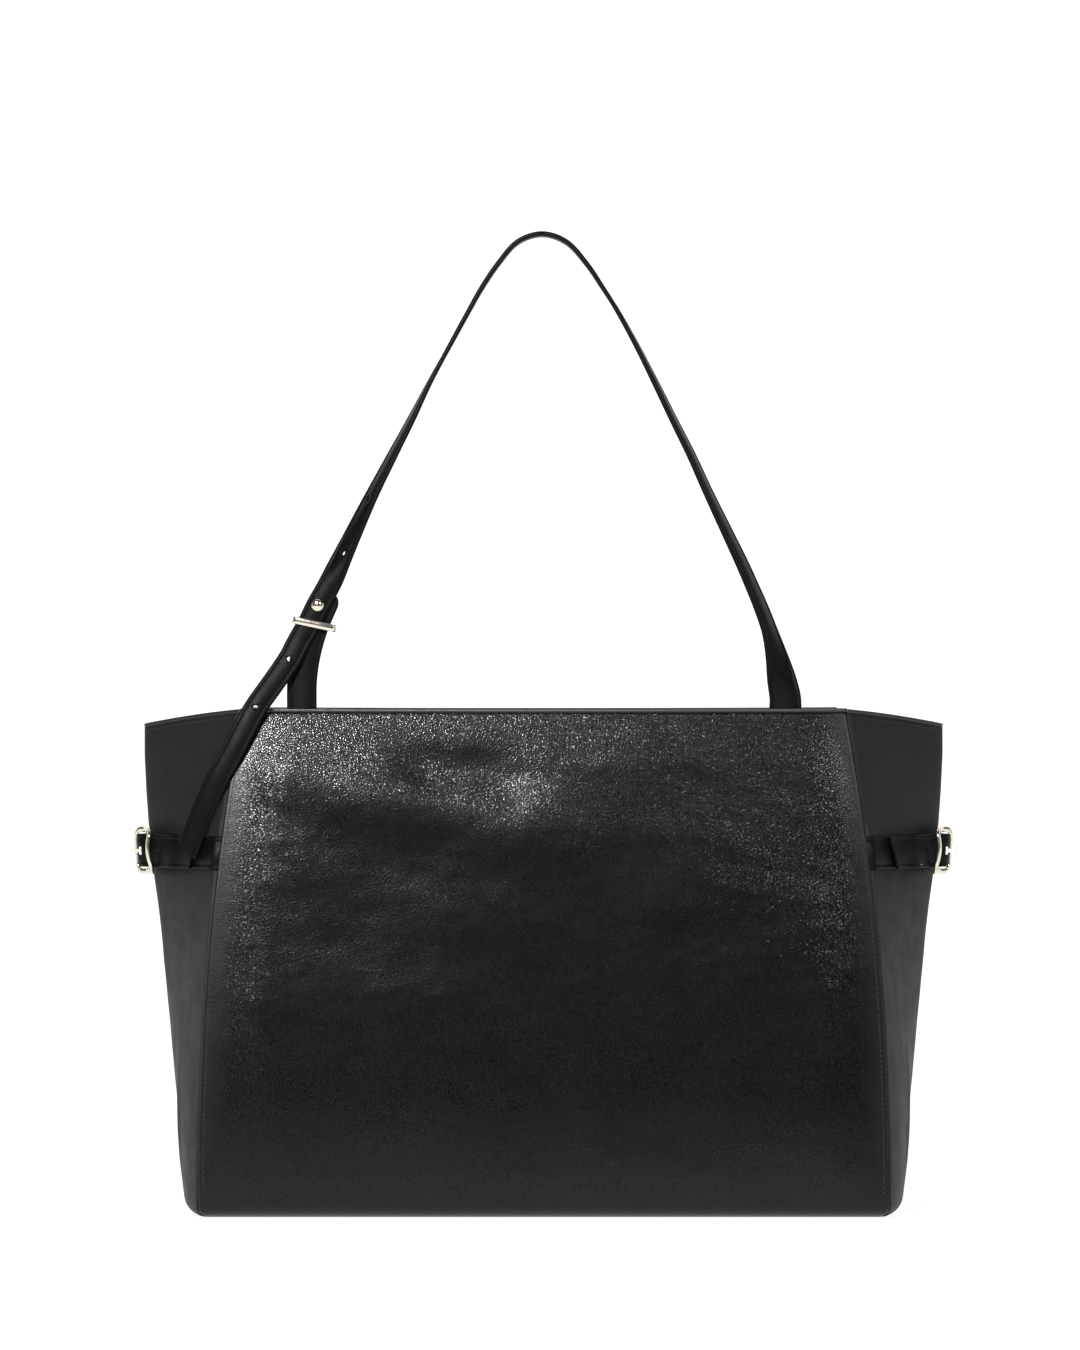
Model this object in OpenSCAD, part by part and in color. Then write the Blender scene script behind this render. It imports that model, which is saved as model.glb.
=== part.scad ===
// Diaper tote bag with folded side wings, a single shoulder strap and two side belts.
// Frame: +X to the wearer's right as seen from the front, +Y towards the back, +Z up.
// The origin is the middle of the underside.

/* [Body] */
// Height of the body at the middle of the mouth
body_h = 305; // [295:1:315]
// Half width of the front and back panels at the base
base_half_w = 206; // [200:1:212]
// How much each seam moves inwards from the base to the mouth
seam_taper = 24.5; // [18:0.5:30]
// Half depth of the body at the base
base_half_d = 80; // [76:1:84]
// How much each panel leans in from the base to the mouth
depth_taper = 28; // [22:1:32]
// Radius where the panels turn under the base
turn_r = 12; // [10:1:14]
// Radius at the foot of the side gussets
gusset_foot_r = 9; // [7:0.5:10]

/* [Leather] */
// Thickness of a body panel
panel_t = 2; // [1.6:0.1:2.2]
// Thickness of the lining
lining_t = 0.8; // [0.6:0.1:1]
// Height of the edge binding
binding_h = 2.3; // [1.8:0.1:3]
// Height of the facing inside the mouth
facing_h = 35; // [25:1:45]
// Thickness of the strap
strap_t = 2.6; // [2:0.1:2.8]
// Width of the strap along its run
strap_w = 14; // [12:0.5:15]
// Width of the strap where it is sewn in
strap_root_w = 19.6; // [16:0.2:22]
// Width of the short anchor strap
anchor_w = 18; // [16:0.5:18.5]
// Thickness of a side belt
belt_t = 2.2; // [1.8:0.1:2.4]
// Width of a side belt
belt_w = 20; // [16:1:22]

/* [Metal] */
// Diameter of the strap stud's head
stud_d = 7.7; // [6:0.1:9]
// Diameter of an adjusting hole in the strap
hole_d = 3.4; // [3.2:0.1:4]
// Width of the ring's band along the strap
ring_band = 4.3; // [3:0.1:5]
// Distance between a buckle's outer bars
buckle_len = 26; // [24:0.5:28]
// Height of a buckle
buckle_h = 28.5; // [27:0.5:31]
// Radius of a buckle's wire
wire_r = 1.35; // [1.1:0.05:1.5]
// Radius of the buckle's centre bar
bar_r = 1.25; // [1:0.05:1.4]

/* [Hidden] */
gap = 0.3;
leather = "#26262a";
edge_black = "#0c0c0e";
cloth = "#8d8578";
metal = "#c9c0ab";

// Grids: body panels have this many rows and columns of cells
panel_rows = 14;
panel_cols = 10;
gusset_cols = 24;
crease_softness = 0.06;

// The strap's root, its two hinges and the stud
strap_hinge_y = -49;
strap_hinge_z = body_h + 1;
root_depth = 38;
strap_y = -47.5;
strap_front_y = -50.6;
tail_hinge_z = 344;
stud_at = [-136.3, 367];
ring_at = [-138.3, 355.6];
ring_tilt = 12;
ring_half = 12.2;
ring_wall = 1.1;

// The strap's run: x, z and turn, from the right root over the top to the tail's hinge.
// A turn of 0 has the strap's width along Y, and 90 has its outer face to the front.
strap_run = [
    [146, 306.6, 90], [145.8, 312, 86], [144, 321, 75], [141, 335, 50], [137, 350, 33], [132, 364, 29],
    [125.7, 379, 27], [119.5, 393, 26], [109, 415, 23], [99, 436, 20], [89, 458, 18],
    [78.5, 479, 14.5], [67.7, 501, 11], [56.6, 523, 7], [45, 544, 4], [35.5, 559, 2],
    [26, 573, 1], [14, 586, 0], [-1, 591, 0], [-16, 586, 0], [-27.5, 573, 0],
    [-37, 559, 0], [-45.5, 544, 1], [-57, 523, 2], [-69, 501, 6], [-80, 479, 15],
    [-91, 458, 22], [-105, 430.8, 32], [-120.4, 398.4, 56], [-129, 380, 87],
    [-136.3, 367, 90], [-141.9, 355.5, 90], [-148.1, 344.9, 90]
];
// The strap's holes above the stud are at these points of its run
strap_holes = [27, 28, 30];
// The tail's run: x, y, z
tail_run = [
    [-148.8, -50.5, 343.6], [-153.2, -53, 334.6], [-163, -56.4, 320], [-173.4, -58, 305.2],
    [-181, -59.8, 291], [-188.5, -60.6, 276.5], [-197.5, -60.4, 260], [-206.5, -58, 240],
    [-215, -53.5, 218]
];
tail_holes = [1, 3];
// The anchor strap's run: x, z
anchor_run = [
    [-146, 306.4], [-145.8, 322], [-143.5, 338], [-139, 354], [-134, 366], [-129.6, 375.5]
];

// The side belts' middle, and the buckle's centre bar there
belt_z = 218;
buckle_turn = 22.6;
buckle_at = [241.5, -10];
bar_arch = 4.8;

// Small hardware
zip_z = 236;
zip_len = 180;
tooth_pitch = 3;
snap_z = 284;
snap_r = 9;

// ---------- The body's surfaces ----------

// Half width of the front and back seams at a height
function seam_x(z) = base_half_w - seam_taper * pow(max(z, 0) / body_h, 2.3);
// Half depth of the body at a height
function half_depth(z) = base_half_d - depth_taper * pow(max(z, 0) / body_h, 1.9);
// Half width of the wings' outer crease at a height
function crease_x(z) = base_half_w + 11.2 + 0.1 * z + 1.4 * exp(-pow((z - 222) / 38, 2))
    - 3.2 * pow(max(z, 0) / body_h, 12);
// How sharply a gusset folds: 1 is a fold with flat sides, and more is a rounded end
function fold_power(z) = 1 + 2.8 * pow(max(0, 1 - z / 170), 2);
// From 0 at the crease to 1 at a seam, with the crease a little rounded
function from_crease(t) = (sqrt(t * t + pow(crease_softness, 2)) - crease_softness)
    / (sqrt(1 + pow(crease_softness, 2)) - crease_softness);
// From 0 at a seam to 1 at the crease
function bulge(t, z) = 1 - pow(from_crease(t), fold_power(z));
// How far a rounded foot of the given radius comes in at a height
function foot(z, r) = z >= r ? 0 : r - sqrt(r * r - pow(r - z, 2));
// The front panel's half width, with its bottom corners rounded
function panel_x(z) = seam_x(z) - foot(z, 6);
// X of a gusset's outer face at a depth and a height
function gusset_x(y, z) = let (t = min(1, abs(y) / half_depth(z)))
    seam_x(z) + (crease_x(z) - seam_x(z)) * bulge(t, z) - foot(z, gusset_foot_r);
// How far a gusset reaches towards a panel at a height, inside the panel's turned foot
function gusset_reach(z) = z < panel_t ? base_half_d - turn_r - gap
    : z < turn_r
        ? half_depth(z) - turn_r + sqrt(pow(turn_r - panel_t, 2) - pow(turn_r - z, 2)) - gap
        : half_depth(z) - panel_t - gap;
// Height of a gusset's top edge at a depth
function wing_top(y) = let (t = min(1, abs(y) / half_depth(body_h)))
    body_h - 0.5 - 9 * pow(1 - from_crease(t), 1.3);

function lerp(a, b, k) = a + (b - a) * k;
function steps(a, b, n) = [for (i = [0 : n]) lerp(a, b, i / n)];

// ---------- Solids from grids of points ----------

function cell(a, b, c, d) = [[a, b, c], [a, c, d]];

// A closed solid between an outer and an inner grid of the same size
module sheet(outer, inner) {
    rows = len(outer);
    cols = len(outer[0]);
    count = rows * cols;
    id = function (side, i, j) side * count + i * cols + j;
    polyhedron(
        points = concat([for (row = outer) each row], [for (row = inner) each row]),
        faces = concat(
            [for (i = [0 : rows - 2], j = [0 : cols - 2])
                each cell(id(0, i, j), id(0, i + 1, j), id(0, i + 1, j + 1), id(0, i, j + 1))],
            [for (i = [0 : rows - 2], j = [0 : cols - 2])
                each cell(id(1, i, j), id(1, i, j + 1), id(1, i + 1, j + 1), id(1, i + 1, j))],
            [for (j = [0 : cols - 2])
                each cell(id(0, 0, j), id(0, 0, j + 1), id(1, 0, j + 1), id(1, 0, j))],
            [for (j = [0 : cols - 2]) each cell(
                id(0, rows - 1, j), id(1, rows - 1, j), id(1, rows - 1, j + 1), id(0, rows - 1, j + 1))],
            [for (i = [0 : rows - 2])
                each cell(id(0, i, 0), id(1, i, 0), id(1, i + 1, 0), id(0, i + 1, 0))],
            [for (i = [0 : rows - 2]) each cell(
                id(0, i, cols - 1), id(0, i + 1, cols - 1), id(1, i + 1, cols - 1), id(1, i, cols - 1))]
        ),
        convexity = 10
    );
}

// A closed solid through rings of the same number of points
module loft(rings, closed = false) {
    n = len(rings[0]);
    m = len(rings);
    last = closed ? m - 1 : m - 2;
    polyhedron(
        points = [for (ring = rings) each ring],
        faces = concat(
            [for (i = [0 : last], j = [0 : n - 1]) let (k = (j + 1) % n, i2 = (i + 1) % m)
                each cell(i * n + j, i * n + k, i2 * n + k, i2 * n + j)],
            closed ? [] : [for (j = [1 : n - 2]) [0, j + 1, j]],
            closed ? [] : [for (j = [1 : n - 2]) [(m - 1) * n, (m - 1) * n + j, (m - 1) * n + j + 1]]
        ),
        convexity = 10
    );
}

// A smooth run through hand-set points, with k steps between two of them
function spline_at(p, i, u) = let (
        a = p[max(i - 1, 0)],
        b = p[i],
        c = p[min(i + 1, len(p) - 1)],
        d = p[min(i + 2, len(p) - 1)]
    ) 0.5 * (2 * b + (c - a) * u + (2 * a - 5 * b + 4 * c - d) * u * u
        + (3 * b - a - 3 * c + d) * u * u * u);
function smooth_run(p, k) = concat(
    [for (i = [0 : len(p) - 2], s = [0 : k - 1]) spline_at(p, i, s / k)],
    [p[len(p) - 1]]
);
function unit(v) = v / norm(v);
function tangent(p, i) = unit(p[min(i + 1, len(p) - 1)] - p[max(i - 1, 0)]);

// ---------- Body panels ----------

// Heights of a panel's rows above its turned foot
function panel_z(top) = [for (k = steps(0, 1, panel_rows)) lerp(turn_r, top, k)];

// Cross section of the front panel, from the base to its top edge, offset inwards
function panel_profile(top, inset) = concat(
    [for (a = steps(0, 75, 5))
        [-(base_half_d - turn_r) - (turn_r - inset) * sin(a), turn_r - (turn_r - inset) * cos(a)]],
    [for (z = panel_z(top)) [-(half_depth(z) - inset), z]]
);
function panel_grid(top, inset) = [for (q = panel_profile(top, inset))
    [for (u = steps(-1, 1, panel_cols)) [u * panel_x(q[1]), q[0], q[1]]]];

module body_panel() {
    top = body_h - binding_h - 0.2;
    sheet(panel_grid(top, panel_t), panel_grid(top, 0));
}
module front_panel() { color(leather) body_panel(); }
module back_panel() { color(leather) mirror([0, 1, 0]) body_panel(); }

// Outline of the base, inside the turned feet of the panels and gussets
gusset_t = panel_t + 0.4;
function base_x(y) = gusset_x(y, 0) - gusset_t - gap;
base_reach = base_half_d - turn_r - gap;
module base_outline(inset) {
    right = [for (y = steps(-base_reach + inset, base_reach - inset, 20)) [base_x(y) - inset, y]];
    left = [for (y = steps(base_reach - inset, -base_reach + inset, 20)) [-base_x(y) + inset, y]];
    polygon(concat(right, left));
}
module base_panel() {
    color(leather) linear_extrude(panel_t) base_outline(0);
}
module base_board() {
    color("#4a4138") translate([0, 0, panel_t + gap]) linear_extrude(2.4) base_outline(10);
}

// A gusset's rows run from its foot to its top edge, and its columns from front to back
gusset_rows = 16;
foot_rows = 5;
// Height of a row, below a top edge at the given height
function gusset_height(i, top) = i < foot_rows
    ? gusset_foot_r * (1 - cos(90 * i / foot_rows))
    : lerp(gusset_foot_r, top, (i - foot_rows) / (gusset_rows - foot_rows));
// The columns lie closer together near the crease
function gusset_depth(i, u) = (0.35 * u * abs(u) + 0.65 * u) * gusset_reach(gusset_height(i, body_h - 3));
function gusset_grid(inset) = [for (i = [0 : gusset_rows])
    [for (u = steps(-1, 1, gusset_cols)) let (
            y = gusset_depth(i, u),
            z = gusset_height(i, wing_top(y) - binding_h - 0.2)
        ) [gusset_x(y, z) - inset, y, z]]];
module side_gusset() {
    sheet(gusset_grid(0), gusset_grid(gusset_t));
}
module right_gusset() { color(leather) side_gusset(); }
module left_gusset() { color(leather) mirror([1, 0, 0]) side_gusset(); }

// ---------- Edge bindings ----------

function top_strip(z, y, half) = [for (u = steps(-1, 1, panel_cols)) [u * half, y, z]];
module top_binding() {
    half = seam_x(body_h) - 0.5;
    face = half_depth(body_h) + gap;
    low = body_h - binding_h;
    sheet(
        [top_strip(low, -face + panel_t + 2 * gap, half), top_strip(body_h, -face + panel_t + 2 * gap, half)],
        [top_strip(low, -face, half), top_strip(body_h, -face, half)]
    );
}
module front_top_binding() { color(edge_black) top_binding(); }
module back_top_binding() { color(edge_black) mirror([0, 1, 0]) top_binding(); }

function wing_strip(drop, out) = [for (u = steps(-1, 1, gusset_cols)) let (
        y = u * (half_depth(body_h) - panel_t - 2 * gap),
        z = wing_top(y)
    ) [gusset_x(y, z) + out, y, z - drop]];
module wing_binding() {
    inner = -panel_t - 0.8;
    sheet(
        [wing_strip(binding_h, gap), wing_strip(0, gap)],
        [wing_strip(binding_h, inner), wing_strip(0, inner)]
    );
}
module right_top_binding() { color(edge_black) wing_binding(); }
module left_top_binding() { color(edge_black) mirror([1, 0, 0]) wing_binding(); }

// ---------- Lining and facing ----------

facing_low = body_h - binding_h - facing_h;
lining_low = 10;

function wall_grid(low, top, inset, side_inset) = [for (z = steps(low, top, 8))
    [for (u = steps(-1, 1, panel_cols)) [u * (seam_x(z) - side_inset), -(half_depth(z) - inset), z]]];
module wall_skin(low, top, inset, t, side_inset) {
    sheet(wall_grid(low, top, inset + t, side_inset), wall_grid(low, top, inset, side_inset));
}
function end_grid(low, top_drop, inset, reach_inset) = [for (k = steps(0, 1, 8))
    [for (u = steps(-1, 1, gusset_cols)) let (
            y = u * (half_depth(lerp(low, body_h, k)) - reach_inset),
            z = lerp(low, wing_top(y) - top_drop, k)
        ) [gusset_x(y, z) - inset, y, z]]];
module end_skin(low, top_drop, inset, t, reach_inset) {
    sheet(end_grid(low, top_drop, inset, reach_inset), end_grid(low, top_drop, inset + t, reach_inset));
}
skin_gap = panel_t + 0.5;
module lining_front() {
    color(cloth) wall_skin(lining_low, facing_low - 1, skin_gap, lining_t, 6);
}
module lining_back() {
    color(cloth) mirror([0, 1, 0]) wall_skin(lining_low, facing_low - 1, skin_gap, lining_t, 6);
}
module lining_right() {
    color(cloth) end_skin(lining_low, facing_h + binding_h + 1, panel_t + 0.8, lining_t + 0.4, 8);
}
module lining_left() { mirror([1, 0, 0]) lining_right(); }
module lining_base() {
    color(cloth) translate([0, 0, panel_t + 3]) linear_extrude(lining_t) base_outline(11);
}
front_facing_inset = panel_t + strap_t + 2.1;
module facing_front() {
    color(leather) wall_skin(facing_low, body_h - 3, front_facing_inset, 1.2, 9);
}
module facing_back() {
    color(leather) mirror([0, 1, 0]) wall_skin(facing_low, body_h - 3, skin_gap, 1.2, 9);
}
// The side facings are slices of the same skin, above the lining
function slice_grid(high, low, inset, reach_inset) = [for (k = steps(0, 1, 4))
    [for (u = steps(-1, 1, gusset_cols)) let (
            y = u * (half_depth(body_h) - reach_inset),
            z = wing_top(y) - lerp(low, high, k)
        ) [gusset_x(y, z) - inset, y, z]]];
module facing_right() {
    color(leather) sheet(
        slice_grid(3, facing_h + binding_h, panel_t + 0.8, 9),
        slice_grid(3, facing_h + binding_h, panel_t + 2.4, 9)
    );
}
module facing_left() { mirror([1, 0, 0]) facing_right(); }

// ---------- Pockets and closure ----------

// Lean of the panels at a height, in degrees
function lean(z) = atan((half_depth(z - 5) - half_depth(z + 5)) / 10);

module slip_pocket() {
    color(cloth) mirror([0, 1, 0]) wall_skin(70, 200, skin_gap + 1.6, 1.2, 85);
}

// Places its children on the front panel's lining, facing the inside of the bag
module on_front_lining(x, z, inset) {
    translate([x, -(half_depth(z) - inset), z]) rotate([90 - lean(z), 0, 0]) mirror([0, 0, 1]) children();
}
function rounded_rect(w, h, r) = [for (c = [0 : 3], a = steps(0, 90, 6)) let (
        cx = (c == 0 || c == 3 ? 1 : -1) * (w / 2 - r),
        cy = (c < 2 ? 1 : -1) * (h / 2 - r)
    ) [cx + r * cos(90 * c + a), cy + r * sin(90 * c + a)]];

zip_lift = skin_gap + lining_t + 0.4;
module zip_tape() {
    color(edge_black) on_front_lining(0, zip_z, zip_lift) linear_extrude(0.8) difference() {
        polygon(rounded_rect(zip_len + 12, 20, 3));
        square([zip_len + 2, 7], center = true);
    }
}
module zip_teeth() {
    count = floor(zip_len / tooth_pitch);
    up = [for (i = [0 : count - 1]) let (x = -zip_len / 2 + i * tooth_pitch)
        each [[x, 1.6], [x + 1, 2.5], [x + 2, 2.5], [x + 2.6, 1.6]]];
    down = [for (i = [len(up) - 1 : -1 : 0]) [up[i][0], -up[i][1]]];
    color(metal) on_front_lining(0, zip_z, zip_lift) linear_extrude(1.2) polygon(concat(up, down));
}
slider_x = zip_len / 2 - 12;
slider_l = 10;
pull_lift = 2.75;
pull_pin_r = 0.5;
module zip_slider() {
    color(metal) on_front_lining(slider_x, zip_z, zip_lift) difference() {
        translate([-slider_l / 2, -4.2, 1.1]) cube([slider_l, 8.4, 2.6]);
        translate([-slider_l, -3, 0]) cube([2 * slider_l, 6, 1.5]);
        translate([-slider_l, 0, pull_lift]) rotate([0, 90, 0])
            cylinder(r = pull_pin_r + 0.05, h = 2 * slider_l, $fn = 24);
    }
}
// The pull hangs plumb from its pin
module zip_pull() {
    reach = slider_l / 2 + 1.4;
    color(metal) on_front_lining(slider_x, zip_z, zip_lift) translate([0, 0, pull_lift])
        rotate([-lean(zip_z), 0, 0]) {
            translate([-reach, 0, 0]) rotate([0, 90, 0]) cylinder(r = pull_pin_r, h = 2 * reach, $fn = 24);
            for (s = [-1, 1]) translate([s * (reach - 0.5) - 0.5, -7, -0.5]) cube([1, 7.4, 1]);
            translate([-reach, -27, -0.5]) cube([2 * reach, 20.5, 1]);
        }
}

module on_facing(side, inset) {
    mirror([0, side > 0 ? 1 : 0, 0]) on_front_lining(0, snap_z, inset) children();
}
module snap_socket() {
    color(metal) on_facing(-1, front_facing_inset + 1.5) difference() {
        cylinder(r = snap_r, h = 2.6, $fn = 48);
        translate([0, 0, 1]) cylinder(r = 3.2, h = 2, $fn = 48);
    }
}
module snap_plug() {
    color(metal) on_facing(1, skin_gap + 1.6) {
        cylinder(r = snap_r, h = 1.6, $fn = 48);
        cylinder(r = 2.8, h = 3.2, $fn = 48);
    }
}

// ---------- Shoulder strap ----------

module strap_root(x, w) {
    low = body_h - root_depth;
    slope = [for (z = steps(low, body_h - 14, 6)) [z, -(half_depth(z) - panel_t - gap)]];
    rise = [for (z = [body_h - 3.5, body_h + 0.5]) [z, strap_y - strap_t / 2]];
    grid = function (inset) [for (q = concat(slope, rise))
        [for (u = [-1, 1]) [x + u * w / 2, q[1] + inset, q[0]]]];
    sheet(grid(strap_t), grid(0));
}
module strap_root_right() { color(leather) strap_root(146, strap_root_w); }
module strap_root_left() { color(leather) strap_root(-146, anchor_w); }

run = smooth_run(strap_run, 3);
function run_side(i) = min(1, 1.15 * i / (len(run) - 1));
function run_at(i) = [run[i][0], lerp(strap_y, strap_front_y, run_side(i)), run[i][1]];
function run_dir(i) = let (a = run[max(i - 1, 0)], b = run[min(i + 1, len(run) - 1)])
    unit([b[0] - a[0], 0, b[1] - a[1]]);
// Outwards from the arch, in its own plane
function run_out(i) = let (d = run_dir(i)) [d[2], 0, -d[0]];
function run_normal(i) = run_out(i) * cos(run[i][2]) + [0, -sin(run[i][2]), 0];
function run_across(i) = run_out(i) * sin(run[i][2]) + [0, cos(run[i][2]), 0];
function run_width(i) = run[i][0] < 0 ? strap_w
    : lerp(strap_root_w, strap_w, min(1, pow((run[i][1] - body_h) / 150, 0.8)));
function strap_ring_points(c, across, normal, w, t) = [
    c - across * w / 2 - normal * (t / 2 - 0.5),
    c - across * (w / 2 - 0.5) - normal * t / 2,
    c + across * (w / 2 - 0.5) - normal * t / 2,
    c + across * w / 2 - normal * (t / 2 - 0.5),
    c + across * w / 2 + normal * (t / 2 - 0.5),
    c + across * (w / 2 - 0.5) + normal * t / 2,
    c - across * (w / 2 - 0.5) + normal * t / 2,
    c - across * w / 2 + normal * (t / 2 - 0.5)
];
// A hole through a strap, square to its face
module strap_hole(c, normal, across) {
    along = cross(normal, across);
    multmatrix([
        [across[0], along[0], normal[0], c[0]],
        [across[1], along[1], normal[1], c[1]],
        [across[2], along[2], normal[2], c[2]]
    ]) cylinder(d = hole_d, h = 3 * strap_t, center = true, $fn = 32);
}
module shoulder_strap() {
    color(leather) difference() {
        loft([for (i = [0 : len(run) - 1])
            strap_ring_points(run_at(i), run_across(i), run_normal(i), run_width(i), strap_t)]);
        for (h = strap_holes) strap_hole(run_at(3 * h), run_normal(3 * h), run_across(3 * h));
    }
}

tail = smooth_run(tail_run, 3);
function tail_across(i) = let (d = tangent(tail, i)) unit([d[2], 0, -d[0]]);
function tail_normal(i) = unit(cross(tail_across(i), tangent(tail, i)));
module strap_tail() {
    last = len(tail) - 1;
    tip = tail[last] + tail_across(last) * strap_w * 0.28;
    color(leather) difference() {
        loft([for (i = [0 : last])
            strap_ring_points(tail[i], -tail_across(i), -tail_normal(i), strap_w, strap_t)]);
        for (h = tail_holes) strap_hole(tail[3 * h], tail_normal(3 * h), tail_across(3 * h));
        translate([tip[0], tip[1], tip[2] - 12]) rotate([0, 22, 0]) cube([24, 20, 14], center = true);
    }
}

anchor = smooth_run(anchor_run, 4);
module strap_anchor() {
    last = len(anchor) - 1;
    color(leather) difference() {
        loft([for (i = [0 : last]) let (
                d = tangent(anchor, i),
                across = [d[1], 0, -d[0]],
                w = i < last ? anchor_w : anchor_w - 5,
                c = [anchor[i][0], strap_y, anchor[i][1]]
            ) strap_ring_points(c, across, [0, 1, 0], w, strap_t)]);
        translate([stud_at[0], strap_y, stud_at[1]]) rotate([90, 0, 0])
            cylinder(d = hole_d, h = 3 * strap_t, center = true, $fn = 32);
    }
}

// The stud's axis runs along Y, through the anchor and one hole of the strap
neck_r = 1.5;
screw_r = 0.8;
module on_stud() {
    translate([stud_at[0], strap_y + strap_t / 2, stud_at[1]]) rotate([90, 0, 0]) children();
}
stack = 2 * strap_t + gap;
module strap_stud() {
    dome = [for (a = steps(0, 90, 8)) [stud_d / 2 * cos(a), stack + 1 + 1.8 * sin(a)]];
    color(metal) on_stud() difference() {
        rotate_extrude($fn = 64) polygon(concat(
            [[0, 0.2], [neck_r, 0.2], [neck_r, stack + 0.4], [stud_d / 2 - 0.4, stack + 0.4]], dome));
        translate([0, 0, -1]) cylinder(r = screw_r + 0.05, h = 4, $fn = 32);
    }
}
module stud_screw() {
    color(metal) on_stud() {
        translate([0, 0, -1.5]) cylinder(r = 3, h = 1.2, $fn = 48);
        translate([0, 0, -1]) cylinder(r = screw_r, h = 3.6, $fn = 32);
    }
}
// The ring is a flat loop round the strap and its anchor
module strap_ring() {
    inner_d = 2 * strap_t + 7 * gap;
    mid_y = strap_y - strap_t / 2 - gap / 2;
    color(metal) translate([ring_at[0], mid_y, ring_at[1]]) rotate([0, ring_tilt, 0])
        translate([0, 0, -ring_band / 2]) linear_extrude(ring_band) difference() {
            polygon(rounded_rect(2 * (ring_half + ring_wall), inner_d + 2 * ring_wall, 1.8));
            polygon(rounded_rect(2 * ring_half, inner_d, 0.8));
        }
}

// ---------- Side belts and buckles ----------

// How the wing's face moves with height near the belt, as a slope for a depth y
function wing_slope(y) = let (
        a = gusset_x(y, belt_z - 5),
        b = gusset_x(y, belt_z + 5)
    ) (b - a) / 10;
// A point off the wing's outer face at the belt's height: depth y, distance out
function off_wing(y, out) = let (
        d = unit([gusset_x(y + 0.5, belt_z) - gusset_x(y - 0.5, belt_z), 1])
    ) [gusset_x(y, belt_z) + d[1] * out, y - d[0] * out];
along_buckle = [sin(buckle_turn), cos(buckle_turn)];
out_buckle = [cos(buckle_turn), -sin(buckle_turn)];
// A point in the buckle's own directions: towards the back along its belt, and outwards
function in_buckle(u, out) = buckle_at + along_buckle * u + out_buckle * out;

seat = 2 * gap + belt_t / 2;
eye_r = bar_r + 0.5 + belt_t / 2;
base_belt_run = [
    off_wing(-63.5, seat), off_wing(-52, seat), off_wing(-40, seat), off_wing(-30, seat),
    off_wing(-22, seat), off_wing(-16, seat), in_buckle(0.4, -eye_r), in_buckle(eye_r * 0.75, -eye_r * 0.7),
    in_buckle(eye_r, 0), in_buckle(eye_r * 0.7, eye_r * 0.7), in_buckle(0, eye_r),
    in_buckle(-eye_r * 0.8, eye_r * 0.55), in_buckle(-7, -1.9), in_buckle(-12.6, -3.75),
    off_wing(-22.8, seat + belt_t + 2 * gap),
    off_wing(-29, seat + belt_t + 2 * gap)
];
over = eye_r + belt_t + 2 * gap;
tail_belt_run = [
    off_wing(63.5, seat), off_wing(50, seat), off_wing(36, seat), off_wing(22, seat), off_wing(11, seat),
    off_wing(5.5, seat + 0.3), off_wing(1, seat + 1.1), in_buckle(6.8, 0.6), in_buckle(3, over - 0.9),
    in_buckle(-0.5, over), in_buckle(-4.5, over - 1.3),
    in_buckle(-9, 0.9), in_buckle(-13.2, -1.2), off_wing(-29.5, seat + 2 * belt_t + 4 * gap),
    off_wing(-36, seat + belt_t + 1.3), off_wing(-42, seat + belt_t + 2 * gap),
    off_wing(-48, seat + belt_t + 2 * gap)
];
// Each point of a belt's run keeps its distance from the wing as it moves up or down
function belt_point(p, h) = let (
        y = p[1] * half_depth(belt_z + h) / half_depth(belt_z)
    ) [p[0] + gusset_x(y, belt_z + h) - gusset_x(p[1], belt_z), y, belt_z + h];
function belt_side(run2, out) = [for (i = [0 : len(run2) - 1]) let (d = tangent(run2, i))
    run2[i] + [d[1], -d[0]] * out];
function belt_grid(run2, out, skew) = [for (h = steps(-belt_w / 2, belt_w / 2, 4))
    [for (i = [0 : len(run2) - 1]) let (
            n = len(run2),
            p = belt_side(run2, out)[i],
            q = i == n - 1 ? p + tangent(run2, n - 1) * skew * h : p
        ) belt_point(q, h)]];
module belt(points, skew) {
    smooth = smooth_run(points, 3);
    sheet(belt_grid(smooth, belt_t / 2, skew), belt_grid(smooth, -belt_t / 2, skew));
}
// The buckle's own frame: X along the belt towards the back, Y up, Z outwards
module in_buckle_frame() {
    lean_out = atan(wing_slope(-10));
    translate([buckle_at[0], buckle_at[1], belt_z]) rotate([0, lean_out, 0])
        multmatrix([
            [along_buckle[0], 0, out_buckle[0], 0],
            [along_buckle[1], 0, out_buckle[1], 0],
            [0, 1, 0, 0]
        ]) children();
}
prong_slot = 5;
module belt_base() {
    difference() {
        belt(base_belt_run, 0);
        in_buckle_frame() translate([-3.6, -prong_slot / 2, -4.6]) cube([9, prong_slot, 11]);
    }
}
module belt_tail() {
    difference() {
        belt(tail_belt_run, 0.34);
        in_buckle_frame() translate([-4, -prong_slot / 2, -2]) cube([14, prong_slot, 10]);
        in_buckle_frame() translate([-18.5, 0, 0]) cylinder(d = 2.8, h = 22, center = true, $fn = 24);
    }
}
module right_belt_base() { color(leather) belt_base(); }
module left_belt_base() { color(leather) mirror([1, 0, 0]) belt_base(); }
module right_belt_tail() { color(leather) belt_tail(); }
module left_belt_tail() { color(leather) mirror([1, 0, 0]) belt_tail(); }

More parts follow.
